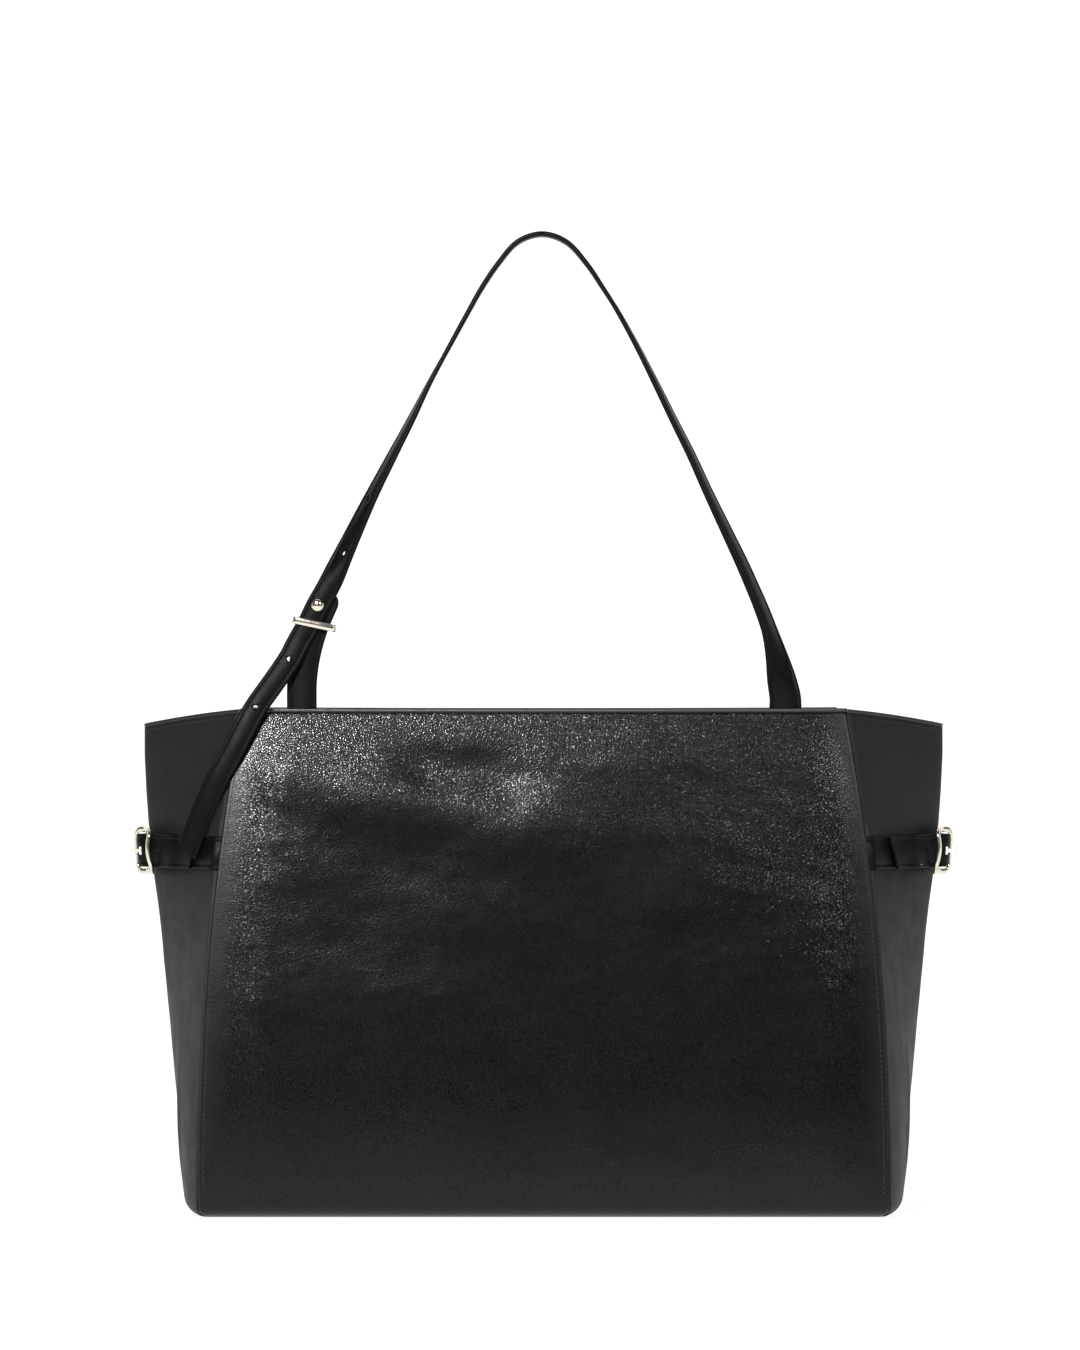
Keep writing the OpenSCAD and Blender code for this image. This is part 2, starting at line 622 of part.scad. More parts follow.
// The frame is one bent wire: a straight back bar, two arms, and a front bar that arches outwards
frame_r = 5;
back_lift = 3.2;
function frame_outline() = rounded_rect(buckle_len, buckle_h - 2 * wire_r, frame_r);
function frame_height(p) = let (
        front = max(0, min(1, (-p[0] - 3) / (buckle_len / 2 - 3))),
        mid = cos(min(90, 180 * abs(p[1]) / buckle_h))
    ) bar_arch * front * (0.4 + 0.6 * mid) + back_lift * max(0, min(1, (p[0] - 3) / 10));
frame_path = let (o = frame_outline(), n = len(o)) [for (i = [0 : n - 1]) let (
        p = o[i],
        q = o[(i + 1) % n],
        cuts = norm(q - p) > 6 ? 5 : 1
    ) for (k = [0 : cuts - 1]) let (r = lerp(p, q, k / cuts)) [r[0], r[1], frame_height(r)]];
module buckle_frame() {
    n = len(frame_path);
    in_buckle_frame() loft([for (i = [0 : n - 1]) let (
            d = unit(frame_path[(i + 1) % n] - frame_path[(i + n - 1) % n]),
            a = unit(cross(d, [0, 0, 1])),
            b = cross(a, d)
        ) [for (s = [0 : 45 : 315]) frame_path[i] + wire_r * (a * cos(s) - b * sin(s))]], closed = true);
}
module right_buckle_frame() { color(metal) buckle_frame(); }
module left_buckle_frame() { color(metal) mirror([1, 0, 0]) buckle_frame(); }
module buckle_bar() {
    in_buckle_frame() rotate([90, 0, 0])
        cylinder(r = bar_r, h = buckle_h - 3 * wire_r, center = true, $fn = 32);
}
module right_buckle_bar() { color(metal) buckle_bar(); }
module left_buckle_bar() { color(metal) mirror([1, 0, 0]) buckle_bar(); }
// The prong has an eye round the centre bar, and its tip lies on the back bar
prong_w = 2.2;
module buckle_prong() {
    tip_x = buckle_len / 2 + 1;
    tip_z = back_lift + wire_r + 0.35;
    in_buckle_frame() rotate([90, 0, 0]) difference() {
        linear_extrude(prong_w, center = true) union() {
            circle(r = bar_r + 0.05 + 1.3, $fn = 48);
            polygon([[0, 0.9], [4, 1.9], [9, tip_z + 0.1], [tip_x, tip_z], [tip_x + 0.8, tip_z + 0.9],
                [tip_x, tip_z + 1.7], [9, tip_z + 1.9], [4, 3.6], [0, 2.6]]);
        }
        cylinder(r = bar_r + 0.05, h = 10, center = true, $fn = 48);
    }
}
module right_buckle_prong() { color(metal) buckle_prong(); }
module left_buckle_prong() { color(metal) mirror([1, 0, 0]) buckle_prong(); }

front_panel();
back_panel();
base_panel();
left_gusset();
right_gusset();
front_top_binding();
back_top_binding();
left_top_binding();
right_top_binding();
base_board();
lining_front();
lining_back();
lining_left();
lining_right();
lining_base();
facing_front();
facing_back();
facing_left();
facing_right();
slip_pocket();
zip_tape();
zip_teeth();
zip_slider();
zip_pull();
snap_socket();
snap_plug();
strap_root_right();
strap_root_left();
shoulder_strap();
strap_anchor();
strap_tail();
strap_stud();
stud_screw();
strap_ring();
left_belt_base();
right_belt_base();
left_belt_tail();
right_belt_tail();
left_buckle_frame();
right_buckle_frame();
left_buckle_bar();
right_buckle_bar();
left_buckle_prong();
right_buckle_prong();
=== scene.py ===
from contextlib import contextmanager
import math

import bmesh
import bpy
import numpy as np
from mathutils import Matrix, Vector, noise


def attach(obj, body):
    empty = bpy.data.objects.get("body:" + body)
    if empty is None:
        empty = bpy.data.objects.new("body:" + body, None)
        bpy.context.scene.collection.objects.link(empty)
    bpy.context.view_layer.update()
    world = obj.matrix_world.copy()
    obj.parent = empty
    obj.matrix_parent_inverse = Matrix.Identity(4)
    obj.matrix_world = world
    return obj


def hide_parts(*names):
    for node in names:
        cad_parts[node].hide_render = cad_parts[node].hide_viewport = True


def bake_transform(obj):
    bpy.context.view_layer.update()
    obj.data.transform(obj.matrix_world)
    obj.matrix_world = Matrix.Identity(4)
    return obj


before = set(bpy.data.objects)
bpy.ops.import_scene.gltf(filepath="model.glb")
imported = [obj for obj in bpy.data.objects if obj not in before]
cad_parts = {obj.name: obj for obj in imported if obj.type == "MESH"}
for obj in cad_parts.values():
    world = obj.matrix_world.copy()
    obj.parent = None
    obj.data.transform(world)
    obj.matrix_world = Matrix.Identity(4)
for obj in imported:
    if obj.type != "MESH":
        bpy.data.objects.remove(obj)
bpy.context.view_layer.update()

MM = 0.001

# ---------- Driving sizes, in millimetres, as in the CAD part ----------

BODY_H = 305.0
BASE_HALF_W = 206.0
SEAM_TAPER = 24.5
BASE_HALF_D = 80.0
DEPTH_TAPER = 28.0
TURN_R = 12.0
FOOT_R = 9.0
PANEL_FOOT_R = 6.0
CREASE_SOFTNESS = 0.06
PANEL_T = 2.0
GUSSET_T = PANEL_T + 0.4
STRAP_T = 2.6
STRAP_W = 14.0
STRAP_ROOT_W = 19.6
ANCHOR_W = 18.0
BELT_T = 2.2
BELT_W = 20.0
BELT_Z = 218.0
GAP = 0.3
STRAP_Y = -47.5
STRAP_FRONT_Y = -50.6
HOLE_R = 1.6
STUD = (-136.3, 367.0)
RING = (-138.3, 355.6)
RING_TILT = math.radians(12)
BUCKLE_TURN = math.radians(22.6)
BUCKLE_AT = np.array([241.5, -10.0])
BUCKLE_LEN = 26.0
BUCKLE_H = 28.5
BAR_R = 1.25
BAR_ARCH = 4.8
BACK_LIFT = 3.2
SIDES = {"left": -1, "right": 1}
PANELS = {"front": -1, "back": 1}


# ---------- The body's surfaces, in millimetres ----------

def seam_x(z):
    """Half width of the front and back seams at a height."""
    return BASE_HALF_W - SEAM_TAPER * (np.maximum(z, 0) / BODY_H) ** 2.3


def half_depth(z):
    """Half depth of the body at a height."""
    return BASE_HALF_D - DEPTH_TAPER * (np.maximum(z, 0) / BODY_H) ** 1.9


def crease_x(z):
    """Half width of the wings' outer crease at a height."""
    swell = 1.4 * np.exp(-((z - 222) / 38) ** 2)
    return BASE_HALF_W + 11.2 + 0.1 * z + swell - 3.2 * (np.maximum(z, 0) / BODY_H) ** 12


def fold_power(z):
    """How sharply the gusset folds at its crease: round near the foot, plain higher up."""
    return 1 + 2.8 * np.maximum(0, 1 - z / 170) ** 2


def from_crease(t):
    """From 0 at the crease to 1 at a seam."""
    soft = CREASE_SOFTNESS
    return (np.sqrt(t * t + soft ** 2) - soft) / (math.sqrt(1 + soft ** 2) - soft)


def foot(z, r):
    """How far a rounded foot of radius r comes in at a height."""
    down = np.clip(r - z, 0, r)
    return r - np.sqrt(r * r - down * down)


def panel_x(z):
    """Half width of the front and back panels at a height."""
    return seam_x(z) - foot(z, PANEL_FOOT_R)


def gusset_x(y, z):
    """How far out a gusset's face is."""
    t = np.minimum(1, np.abs(y) / half_depth(z))
    bulge = 1 - from_crease(t) ** fold_power(z)
    return seam_x(z) + (crease_x(z) - seam_x(z)) * bulge - foot(z, FOOT_R)


def wing_top(y):
    """Height of a wing's top edge, which dips towards the crease."""
    t = np.minimum(1, np.abs(y) / half_depth(BODY_H))
    return BODY_H - 0.5 - 9 * (1 - from_crease(t)) ** 1.3


def lump(point, size, octaves=3, seed=0.0):
    """Smooth noise of about -1 to 1 at a point in millimetres, with features of the given size."""
    return noise.fractal(Vector(point) / size + Vector((seed, seed * 1.7, -seed)), 1.0, 2.0, octaves)


# ---------- Mesh helpers ----------

def new_object(name, verts, faces, material_of=None):
    """A mesh object from points in millimetres, shaded smooth."""
    mesh = bpy.data.meshes.new(name)
    mesh.from_pydata((np.asarray(verts, float) * MM).tolist(), [], faces)
    mesh.validate()
    if material_of is not None:
        mesh.polygons.foreach_set("material_index", material_of)
    mesh.polygons.foreach_set("use_smooth", [True] * len(mesh.polygons))
    obj = bpy.data.objects.new(name, mesh)
    bpy.context.scene.collection.objects.link(obj)
    return obj


@contextmanager
def editing(obj):
    """The object's mesh open for editing, and written back at the end."""
    bm = bmesh.new()
    bm.from_mesh(obj.data)
    yield bm
    bm.to_mesh(obj.data)
    bm.free()


def fix_normals(obj):
    """Turns all faces of a closed mesh outwards."""
    with editing(obj) as bm:
        bmesh.ops.recalc_face_normals(bm, faces=bm.faces)
    return obj


def apply_modifiers(obj):
    depsgraph = bpy.context.evaluated_depsgraph_get()
    mesh = bpy.data.meshes.new_from_object(obj.evaluated_get(depsgraph))
    obj.modifiers.clear()
    obj.data = mesh
    return obj


def round_edges(obj, width, segments=2, angle=50):
    bevel = obj.modifiers.new("round", "BEVEL")
    bevel.width = width * MM
    bevel.segments = segments
    bevel.limit_method = "ANGLE"
    bevel.angle_limit = math.radians(angle)
    bevel.harden_normals = False
    return apply_modifiers(obj)


def full_turn(count):
    """Angles spread evenly round a full turn."""
    return np.linspace(0, 2 * math.pi, count + 1)[:-1]


def flat_round(half_w, half_h, power, count):
    """A flattened round section as (across, up) points. A lower power is squarer."""
    points = []
    for a in full_turn(count):
        points.append([half * math.copysign(abs(part) ** power, part)
                       for half, part in ((half_w, math.cos(a)), (half_h, math.sin(a)))])
    return points


def skins(layers, levels, cols, place):
    """A grid of points for each layer, from a function of layer, level and -1 to 1 across."""
    across = np.linspace(-1, 1, cols)
    return [[[place(layer, level, u) for u in across] for level in levels] for layer in layers]


def slab(name, outer, inner, edge=0.5):
    """A closed sheet between two grids of points, with rounded edges."""
    outer = np.asarray(outer, float)
    inner = np.asarray(inner, float)
    rows, cols = outer.shape[:2]
    count = rows * cols
    ids = np.arange(count).reshape(rows, cols)
    faces = []
    for i in range(rows - 1):
        for j in range(cols - 1):
            a, b, c, d = ids[i, j], ids[i, j + 1], ids[i + 1, j + 1], ids[i + 1, j]
            faces.append((int(a), int(b), int(c), int(d)))
            faces.append((int(a) + count, int(d) + count, int(c) + count, int(b) + count))
    border = list(ids[0, :]) + list(ids[1:, -1]) + list(ids[-1, -2::-1]) + list(ids[-2:0:-1, 0])
    for a, b in zip(border, border[1:] + border[:1]):
        faces.append((int(b), int(a), int(a) + count, int(b) + count))
    obj = new_object(name, np.concatenate([outer.reshape(-1, 3), inner.reshape(-1, 3)]), faces)
    fix_normals(obj)
    return round_edges(obj, edge) if edge else obj


def tube(name, rings, closed=False, materials=None):
    """A closed solid through rings of points, with capped ends unless it is a loop."""
    rings = np.asarray(rings, float)
    m, n = rings.shape[:2]
    faces = []
    slots = []
    for i in range(m if closed else m - 1):
        for j in range(n):
            k = (j + 1) % n
            i2 = (i + 1) % m
            faces.append((i * n + j, i * n + k, i2 * n + k, i2 * n + j))
            slots.append(materials[j] if materials else 0)
    if not closed:
        faces.append(tuple(range(n))[::-1])
        faces.append(tuple(range((m - 1) * n, m * n)))
        slots += [max(materials or [0])] * 2
    return fix_normals(new_object(name, rings.reshape(-1, 3), faces, slots))


def unit(v):
    """Vectors brought to length one."""
    v = np.asarray(v, float)
    return v / np.linalg.norm(v, axis=-1, keepdims=True)


def smooth_run(points, k):
    """A smooth run through given points, with k steps between two of them."""
    p = np.asarray(points, float)
    out = []
    for i in range(len(p) - 1):
        a, b, c, d = p[max(i - 1, 0)], p[i], p[i + 1], p[min(i + 2, len(p) - 1)]
        for u in np.arange(k) / k:
            square = 2 * a - 5 * b + 4 * c - d
            cubic = 3 * b - a - 3 * c + d
            out.append(0.5 * (2 * b + (c - a) * u + square * u * u + cubic * u ** 3))
    out.append(p[-1])
    return np.array(out)


def tangents(points):
    """The direction along a run at each of its points."""
    return unit(np.gradient(points, axis=0))


# ---------- Materials ----------

class Nodes:
    """A short way to build a node tree around one Principled shader."""

    def __init__(self, name):
        self.material = bpy.data.materials.new(name)
        self.material.use_nodes = True
        self.tree = self.material.node_tree
        self.shader = self.tree.nodes["Principled BSDF"]
        self.coords = self.tree.nodes.new("ShaderNodeTexCoord").outputs["Object"]

    def add(self, kind, inputs=None, **settings):
        node = self.tree.nodes.new("ShaderNode" + kind)
        for key, value in settings.items():
            setattr(node, key, value)
        for key, value in (inputs or {}).items():
            if isinstance(value, bpy.types.NodeSocket):
                self.tree.links.new(value, node.inputs[key])
            else:
                node.inputs[key].default_value = value
        return node

    def mapped(self, scale=(1, 1, 1), turn=(0, 0, 0), kind="POINT"):
        inputs = {"Vector": self.coords, "Scale": scale, "Rotation": turn}
        return self.add("Mapping", inputs, vector_type=kind).outputs[0]

    def noise(self, size_mm, detail=3.0, rough=0.55, vector=None):
        inputs = {"Vector": vector or self.coords, "Scale": 1 / (size_mm * MM), "Detail": detail,
                  "Roughness": rough}
        return self.add("TexNoise", inputs).outputs["Fac"]

    def warped(self, size_mm, amount_mm, vector):
        """Coordinates pushed about by noise."""
        wobble = self.add("TexNoise", {"Vector": vector, "Scale": 1 / (size_mm * MM), "Detail": 2.0})
        centred = self.add("VectorMath", {0: wobble.outputs["Color"], 1: (0.5, 0.5, 0.5)},
                           operation="SUBTRACT")
        scaled = self.add("VectorMath", {0: centred.outputs[0]}, operation="SCALE")
        scaled.inputs["Scale"].default_value = amount_mm * MM * 2
        return self.add("VectorMath", {0: vector, 1: scaled.outputs[0]}, operation="ADD").outputs[0]

    def cells(self, size_mm, vector):
        """Distance to the nearest edge of a cell pattern."""
        inputs = {"Vector": vector, "Scale": 1 / (size_mm * MM)}
        return self.add("TexVoronoi", inputs, feature="DISTANCE_TO_EDGE").outputs["Distance"]

    def ramp(self, value, low, high, out_low=0.0, out_high=1.0):
        inputs = {"Value": value, "From Min": low, "From Max": high, "To Min": out_low,
                  "To Max": out_high}
        return self.add("MapRange", inputs).outputs["Result"]

    def drift(self, size_mm, detail, rough=0.55, low=0.0, high=1.0):
        """A value that drifts slowly from place to place."""
        return self.ramp(self.noise(size_mm, detail, rough), 0.3, 0.7, low, high)

    def math(self, operation, a, b):
        return self.add("Math", {0: a, 1: b}, operation=operation).outputs[0]

    def mix(self, factor, a, b):
        node = self.add("Mix", {"Factor": factor}, data_type="RGBA")
        node.inputs["A"].default_value = (*a, 1)
        node.inputs["B"].default_value = (*b, 1)
        return node.outputs["Result"]

    def bump(self, heights):
        """Chained bumps from (height, depth in millimetres) pairs."""
        normal = None
        for height, depth in heights:
            inputs = {"Height": height, "Distance": depth * MM, "Strength": 1.0}
            if normal is not None:
                inputs["Normal"] = normal
            normal = self.add("Bump", inputs).outputs["Normal"]
        self.tree.links.new(normal, self.shader.inputs["Normal"])

    def set(self, **values):
        for key, value in values.items():
            socket = self.shader.inputs[key.replace("_", " ")]
            if isinstance(value, bpy.types.NodeSocket):
                self.tree.links.new(value, socket)
            else:
                socket.default_value = value
        return self.material


def glazed_leather():
    """Black crinkled leather with a glaze: pebble grain, fine creases and soft clouding."""
    n = Nodes("glazed_leather")
    slanted = n.mapped((0.4, 1, 1.3), (0, math.radians(12), 0))
    warped = n.warped(9, 5, slanted)
    leaning = n.mapped((0.85, 1, 1.5), (0, math.radians(-48), 0), "TEXTURE")
    calm = n.add("Attribute", attribute_name="calm").outputs["Fac"]
    lively = n.math("SUBTRACT", 1.0, calm)
    cell_edge = n.cells(1.2, n.warped(2.0, 0.35, leaning))
    pebble = n.ramp(cell_edge, 0.0, 0.32)
    crease = n.ramp(n.cells(8, warped), 0.0, 0.05)
    fine_crease = n.ramp(n.cells(3.6, warped), 0.0, 0.09)
    patches = n.ramp(n.noise(34, 3), 0.42, 0.62)
    strong = n.math("MULTIPLY", patches, lively)
    creases = n.math("MULTIPLY", n.math("ADD", crease, n.math("MULTIPLY", fine_crease, 0.6)), strong)
    grainy = n.ramp(calm, 0, 1, 1.0, 0.3)
    n.bump([
        (n.noise(7, 4, 0.6, slanted), 0.08),
        (creases, 0.003),
        (n.math("MULTIPLY", pebble, grainy), 0.05),
        (n.noise(0.9, 2, 0.6), 0.016),
    ])
    colour = n.mix(n.drift(60, 4, 0.6), (0.0011, 0.0011, 0.0012), (0.002, 0.002, 0.0021))
    furrow = n.math("MULTIPLY", n.math("SUBTRACT", 1.0, n.ramp(cell_edge, 0.03, 0.22)), grainy)
    worn = n.drift(26, 4, 0.6, 0.14, 0.19)
    rough = n.math("ADD", worn, n.math("MULTIPLY", calm, 0.12))
    rough = n.math("ADD", rough, n.math("MULTIPLY", furrow, 0.25))
    level = n.math("SUBTRACT", 0.32, n.math("MULTIPLY", furrow, 0.30))
    return n.set(Base_Color=colour, Roughness=rough, Specular_IOR_Level=level)


def matte_leather(name, dark, light, low, high, grain=1.0, level=0.2):
    """Smooth dark leather with a fine even grain."""
    n = Nodes(name)
    pores = n.ramp(n.cells(0.9, n.warped(2, 0.8, n.coords)), 0.0, 0.35)
    streak = n.noise(9, 3, 0.6, n.mapped(scale=(2.6, 2.6, 0.5)))
    n.bump([(streak, 0.12 * grain), (pores, 0.035 * grain), (n.noise(0.6, 2), 0.025 * grain)])
    colour = n.mix(n.drift(45, 4, 0.6), dark, light)
    return n.set(Base_Color=colour, Roughness=n.drift(14, 4, low=low, high=high),
                 Specular_IOR_Level=level)


def edge_paint():
    """Black edge paint, a little glossy and never quite flat."""
    n = Nodes("edge_paint")
    n.bump([(n.noise(3.5, 3), 0.15)])
    colour = n.mix(n.noise(12, 3), (0.002, 0.002, 0.0021), (0.0035, 0.0035, 0.0037))
    return n.set(Base_Color=colour, Roughness=n.drift(6, 3, low=0.34, high=0.5))


def thread():
    """Waxed black thread with its twist."""
    n = Nodes("thread")
    inputs = {"Vector": n.mapped(turn=(0.6, 0.6, 0.6)), "Scale": 900.0, "Distortion": 0.4}
    twist = n.add("TexWave", inputs)
    n.bump([(twist.outputs["Fac"], 0.05)])
    colour = n.mix(n.noise(4, 2), (0.006, 0.006, 0.006), (0.014, 0.014, 0.014))
    return n.set(Base_Color=colour, Roughness=0.55)


def polished_metal():
    """Pale gold plated metal with faint polishing marks."""
    n = Nodes("polished_metal")
    marks = n.noise(2.2, 3, 0.6, n.mapped(scale=(0.4, 0.4, 3.0)))
    n.bump([(marks, 0.012)])
    colour = n.mix(n.noise(9, 3), (0.72, 0.66, 0.55), (0.80, 0.75, 0.65))
    return n.set(Base_Color=colour, Metallic=1.0, Roughness=n.drift(5, 3, low=0.11, high=0.19))


def twill():
    """Cotton twill lining: a fine diagonal weave."""
    n = Nodes("lining_twill")
    rib = n.add("TexWave", {"Vector": n.mapped(turn=(0.0, math.radians(45), 0.3)), "Scale": 330.0,
                            "Distortion": 0.8, "Detail": 1.0})
    cross = n.add("TexWave", {"Vector": n.mapped(turn=(0.0, math.radians(-35), 0.3)), "Scale": 520.0})
    n.bump([(rib.outputs["Fac"], 0.12), (cross.outputs["Fac"], 0.05), (n.noise(18, 3), 0.4)])
    shade = n.math("MULTIPLY", rib.outputs["Fac"], n.noise(22, 3))
    colour = n.mix(n.ramp(shade, 0.1, 0.6), (0.20, 0.175, 0.145), (0.30, 0.27, 0.225))
    return n.set(Base_Color=colour, Roughness=0.85, Sheen_Weight=0.25, Specular_IOR_Level=0.3)


def woven_tape():
    """Black ribbed tape under the zip."""
    n = Nodes("woven_tape")
    rib = n.add("TexWave", {"Vector": n.mapped(turn=(0, math.radians(90), 0)), "Scale": 700.0})
    n.bump([(rib.outputs["Fac"], 0.08)])
    colour = n.mix(n.noise(5, 3), (0.012, 0.012, 0.012), (0.022, 0.022, 0.022))
    return n.set(Base_Color=colour, Roughness=0.8, Sheen_Weight=0.2)


def fibre_board():
    """Brown pressed board."""
    n = Nodes("fibre_board")
    n.bump([(n.noise(0.8, 4), 0.1)])
    colour = n.mix(n.noise(3, 5), (0.06, 0.05, 0.04), (0.11, 0.095, 0.08))
    return n.set(Base_Color=colour, Roughness=0.9)


GLAZED = glazed_leather()
SMOOTH = matte_leather("smooth_leather", (0.005, 0.005, 0.0052), (0.0074, 0.0074, 0.0077), 0.5, 0.6)
STRAP = matte_leather("strap_leather", (0.0013, 0.0013, 0.0014), (0.0022, 0.0022, 0.0024), 0.36, 0.46,
                      grain=1.1, level=0.09)
EDGE = edge_paint()
THREAD = thread()
METAL = polished_metal()
LINING = twill()
TAPE = woven_tape()
BOARD = fibre_board()


def finish_piece(obj, body, slot, materials, *nodes):
    """Gives a piece its materials and its body, and hides the CAD nodes it stands for. The slot is not
    used.
    """
    obj.data.materials.clear()
    for material in materials:
        obj.data.materials.append(material)
    if nodes:
        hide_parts(*nodes)
    if body:
        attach(obj, body)
    return obj


# ---------- Stitches ----------

STITCH_PITCH = 3.1
STITCH_LEN = 2.3
STITCH_R = 0.27
STITCH_IN = 2.6
STITCH_SINK = 0.3
STITCH_LIFT = 0.05
STITCH_SIDES = 6
# A stitch's rings: (place along it, share of its thickness, rise). Its ends dip into the leather.
STITCH_RINGS = [(-1.0, 0.35, -0.9), (-0.72, 0.9, -0.25), (0.0, 1.0, 0.1), (0.72, 0.9, -0.25),
                (1.0, 0.35, -0.9)]


def resample(points, normals, pitch):
    """Places a pitch apart along a run, with the direction and the normal there."""
    points = np.asarray(points, float)
    normals = np.asarray(normals, float)
    legs = np.linalg.norm(np.diff(points, axis=0), axis=1)
    along = np.concatenate([[0], np.cumsum(legs)])
    count = max(1, int(along[-1] / pitch))
    at = (np.arange(count) + 0.5) * along[-1] / count
    where = np.stack([np.interp(at, along, points[:, k]) for k in range(3)], axis=1)
    ahead = np.stack([np.interp(at + 0.4, along, points[:, k]) for k in range(3)], axis=1)
    behind = np.stack([np.interp(at - 0.4, along, points[:, k]) for k in range(3)], axis=1)
    normal = np.stack([np.interp(at, along, normals[:, k]) for k in range(3)], axis=1)
    return where, unit(ahead - behind), unit(normal)


def stitches(name, runs, body):
    """Rows of small thread stitches, as one piece. Each run is (points, normals)."""
    verts = []
    faces = []
    sides = STITCH_SIDES
    for points, normals in runs:
        for c, d, n in zip(*resample(points, normals, STITCH_PITCH)):
            side = np.cross(d, n)
            base = len(verts)
            for along, fat, rise in STITCH_RINGS:
                centre = c + d * along * STITCH_LEN / 2 + n * (STITCH_LIFT + rise * STITCH_R * 0.9)
                for s in range(sides):
                    a = 2 * math.pi * s / sides
                    verts.append(centre + (side * math.cos(a) + n * math.sin(a)) * STITCH_R * fat)
            for r in range(len(STITCH_RINGS) - 1):
                for s in range(sides):
                    t = (s + 1) % sides
                    faces.append((base + r * sides + s, base + r * sides + t,
                                  base + (r + 1) * sides + t, base + (r + 1) * sides + s))
            faces.append(tuple(base + s for s in range(sides))[::-1])
            faces.append(tuple(base + (len(STITCH_RINGS) - 1) * sides + s for s in range(sides)))
    obj = fix_normals(new_object(name, verts, faces))
    return finish_piece(obj, body, "edge_paint", [THREAD])


# ---------- Front and back panels ----------

PANEL_COLS = 210
PANEL_ROWS = 150
PANEL_TOP_DROP = 2.5
# How far from a panel's sides and its top the relief dies out
EDGE_ROLL = 38
TOP_ROLL = 34
# The leather is pulled calm this near the seams, and up to this height
CALM_EDGE = 17.0
CALM_FOOT = 75.0


def ridge(x, z, start, end, width, height):
    """A soft ridge of the leather along a line from start to end, each (x, z)."""
    dx, dz = end[0] - start[0], end[1] - start[1]
    length = math.hypot(dx, dz)
    along = ((x - start[0]) * dx + (z - start[1]) * dz) / length
    off = ((x - start[0]) * dz - (z - start[1]) * dx) / length
    past = max(0.0, -along, along - length)
    return height * math.exp(-(off / width) ** 2 - (past / (1.6 * width)) ** 2)


# Where the filled leather stands out or falls in: (start, end, half width, height)
PANEL_RIDGES = [
    ((-168, 268), (-14, 229), 22, 2.4),
    ((-70, 270), (-30, 266), 15, -1.7),
    ((172, 268), (180, 250), 15, 1.8),
    ((20, 236), (110, 214), 24, 0.7),
    ((-130, 205), (-60, 190), 16, 0.7),
    ((-30, 176), (80, 190), 18, 0.8),
    ((-60, 130), (20, 118), 20, 0.5),
]


def panel_swell(x, z):
    """How far a panel stands out of its plain surface, in millimetres: the filled bag's soft relief."""
    edge = min(1.0, max(0.0, (panel_x(z) - abs(x)) / EDGE_ROLL))
    edge = edge * edge * (3 - 2 * edge)
    ends = edge * min(1, z / 25) * min(1.0, max(0.0, (BODY_H - z) / TOP_ROLL)) ** 0.8
    slow = 1.5 + 1.2 * lump((x, 0, z * 1.5), 150, 2, 4.2)
    middle = 0.6 + 0.4 * lump((x * 0.8 + z * 0.3, 9, z * 1.4), 42, 3, 1.3)
    fine = 0.10 * lump((x * 0.7, 3, z), 9, 3, 7.7)
    shaped = sum(ridge(x, z, *r) for r in PANEL_RIDGES)
    return (slow + middle + fine + shaped) * ends


def panel_profile(inset, top):
    """Depth and height along a panel, from under the base to its top edge."""
    r = TURN_R - inset
    arc = np.linspace(0, math.pi / 2, 12)[:-1]
    z = np.concatenate([TURN_R - r * np.cos(arc), np.linspace(TURN_R, top, PANEL_ROWS - 11)])
    y = np.concatenate([BASE_HALF_D - TURN_R + r * np.sin(arc), half_depth(z[11:]) - inset])
    return y, z


def mark_calm(obj):
    """Marks where a panel's leather is pulled calm, for its material to read."""
    co = np.zeros(len(obj.data.vertices) * 3)
    obj.data.vertices.foreach_get("co", co)
    x, _, z = co.reshape(-1, 3).T / MM
    calm = 1 - np.clip((panel_x(z) - np.abs(x)) / CALM_EDGE, 0, 1)
    calm = np.maximum(calm, 1 - np.clip((z - 5) / (CALM_FOOT - 5), 0, 1))
    attribute = obj.data.attributes.new("calm", "FLOAT", "POINT")
    attribute.data.foreach_set("value", calm.astype(np.float32))


def body_panel(name, side, node):
    """A panel with its bottom turned under. side is -1 for the front and 1 for the back."""
    grids = []
    for inset in (0.0, PANEL_T - 0.1):
        grid = []
        for y, z in zip(*panel_profile(inset, BODY_H - PANEL_TOP_DROP)):
            xs = np.linspace(-panel_x(z), panel_x(z), PANEL_COLS)
            grid.append([(x, side * (y + panel_swell(-x * side, z)), z) for x in xs])
        grids.append(grid)
    obj = slab(name, *grids, 0.7)
    mark_calm(obj)
    finish_piece(obj, "bag_body", "panel_leather", [GLAZED], node)


for panel_name, panel_side in PANELS.items():
    body_panel(panel_name + "_panel_leather", panel_side, panel_name + "_panel")


def panel_point(x, z, side):
    """A point on the front or back panel's face, with the face's normal."""
    y = half_depth(z) + panel_swell(-x * side, z)
    slope = (half_depth(z + 1) - half_depth(z - 1)) / 2
    return np.array([x, side * y, z]), unit([0, side, -slope])


def seam_runs(side):
    """The stitch rows down a panel's two seams and under its top edge."""
    zs = np.linspace(14, BODY_H - 6, 60)
    rows = [[(end * (panel_x(z) - STITCH_IN), z) for z in zs] for end in (-1, 1)]
    top = BODY_H - 4.4
    half = panel_x(top) - 4
    rows.append([(x, top) for x in np.linspace(-half, half, 60)])
    return [tuple(zip(*[panel_point(x, z, side) for x, z in row])) for row in rows]


for panel_name, panel_side in PANELS.items():
    stitches(panel_name + "_panel_stitches", seam_runs(panel_side), "bag_body")

# The panels' top bindings run this far past the seams, and the wings' stop this far short of them
BINDING_LAP = 1.4


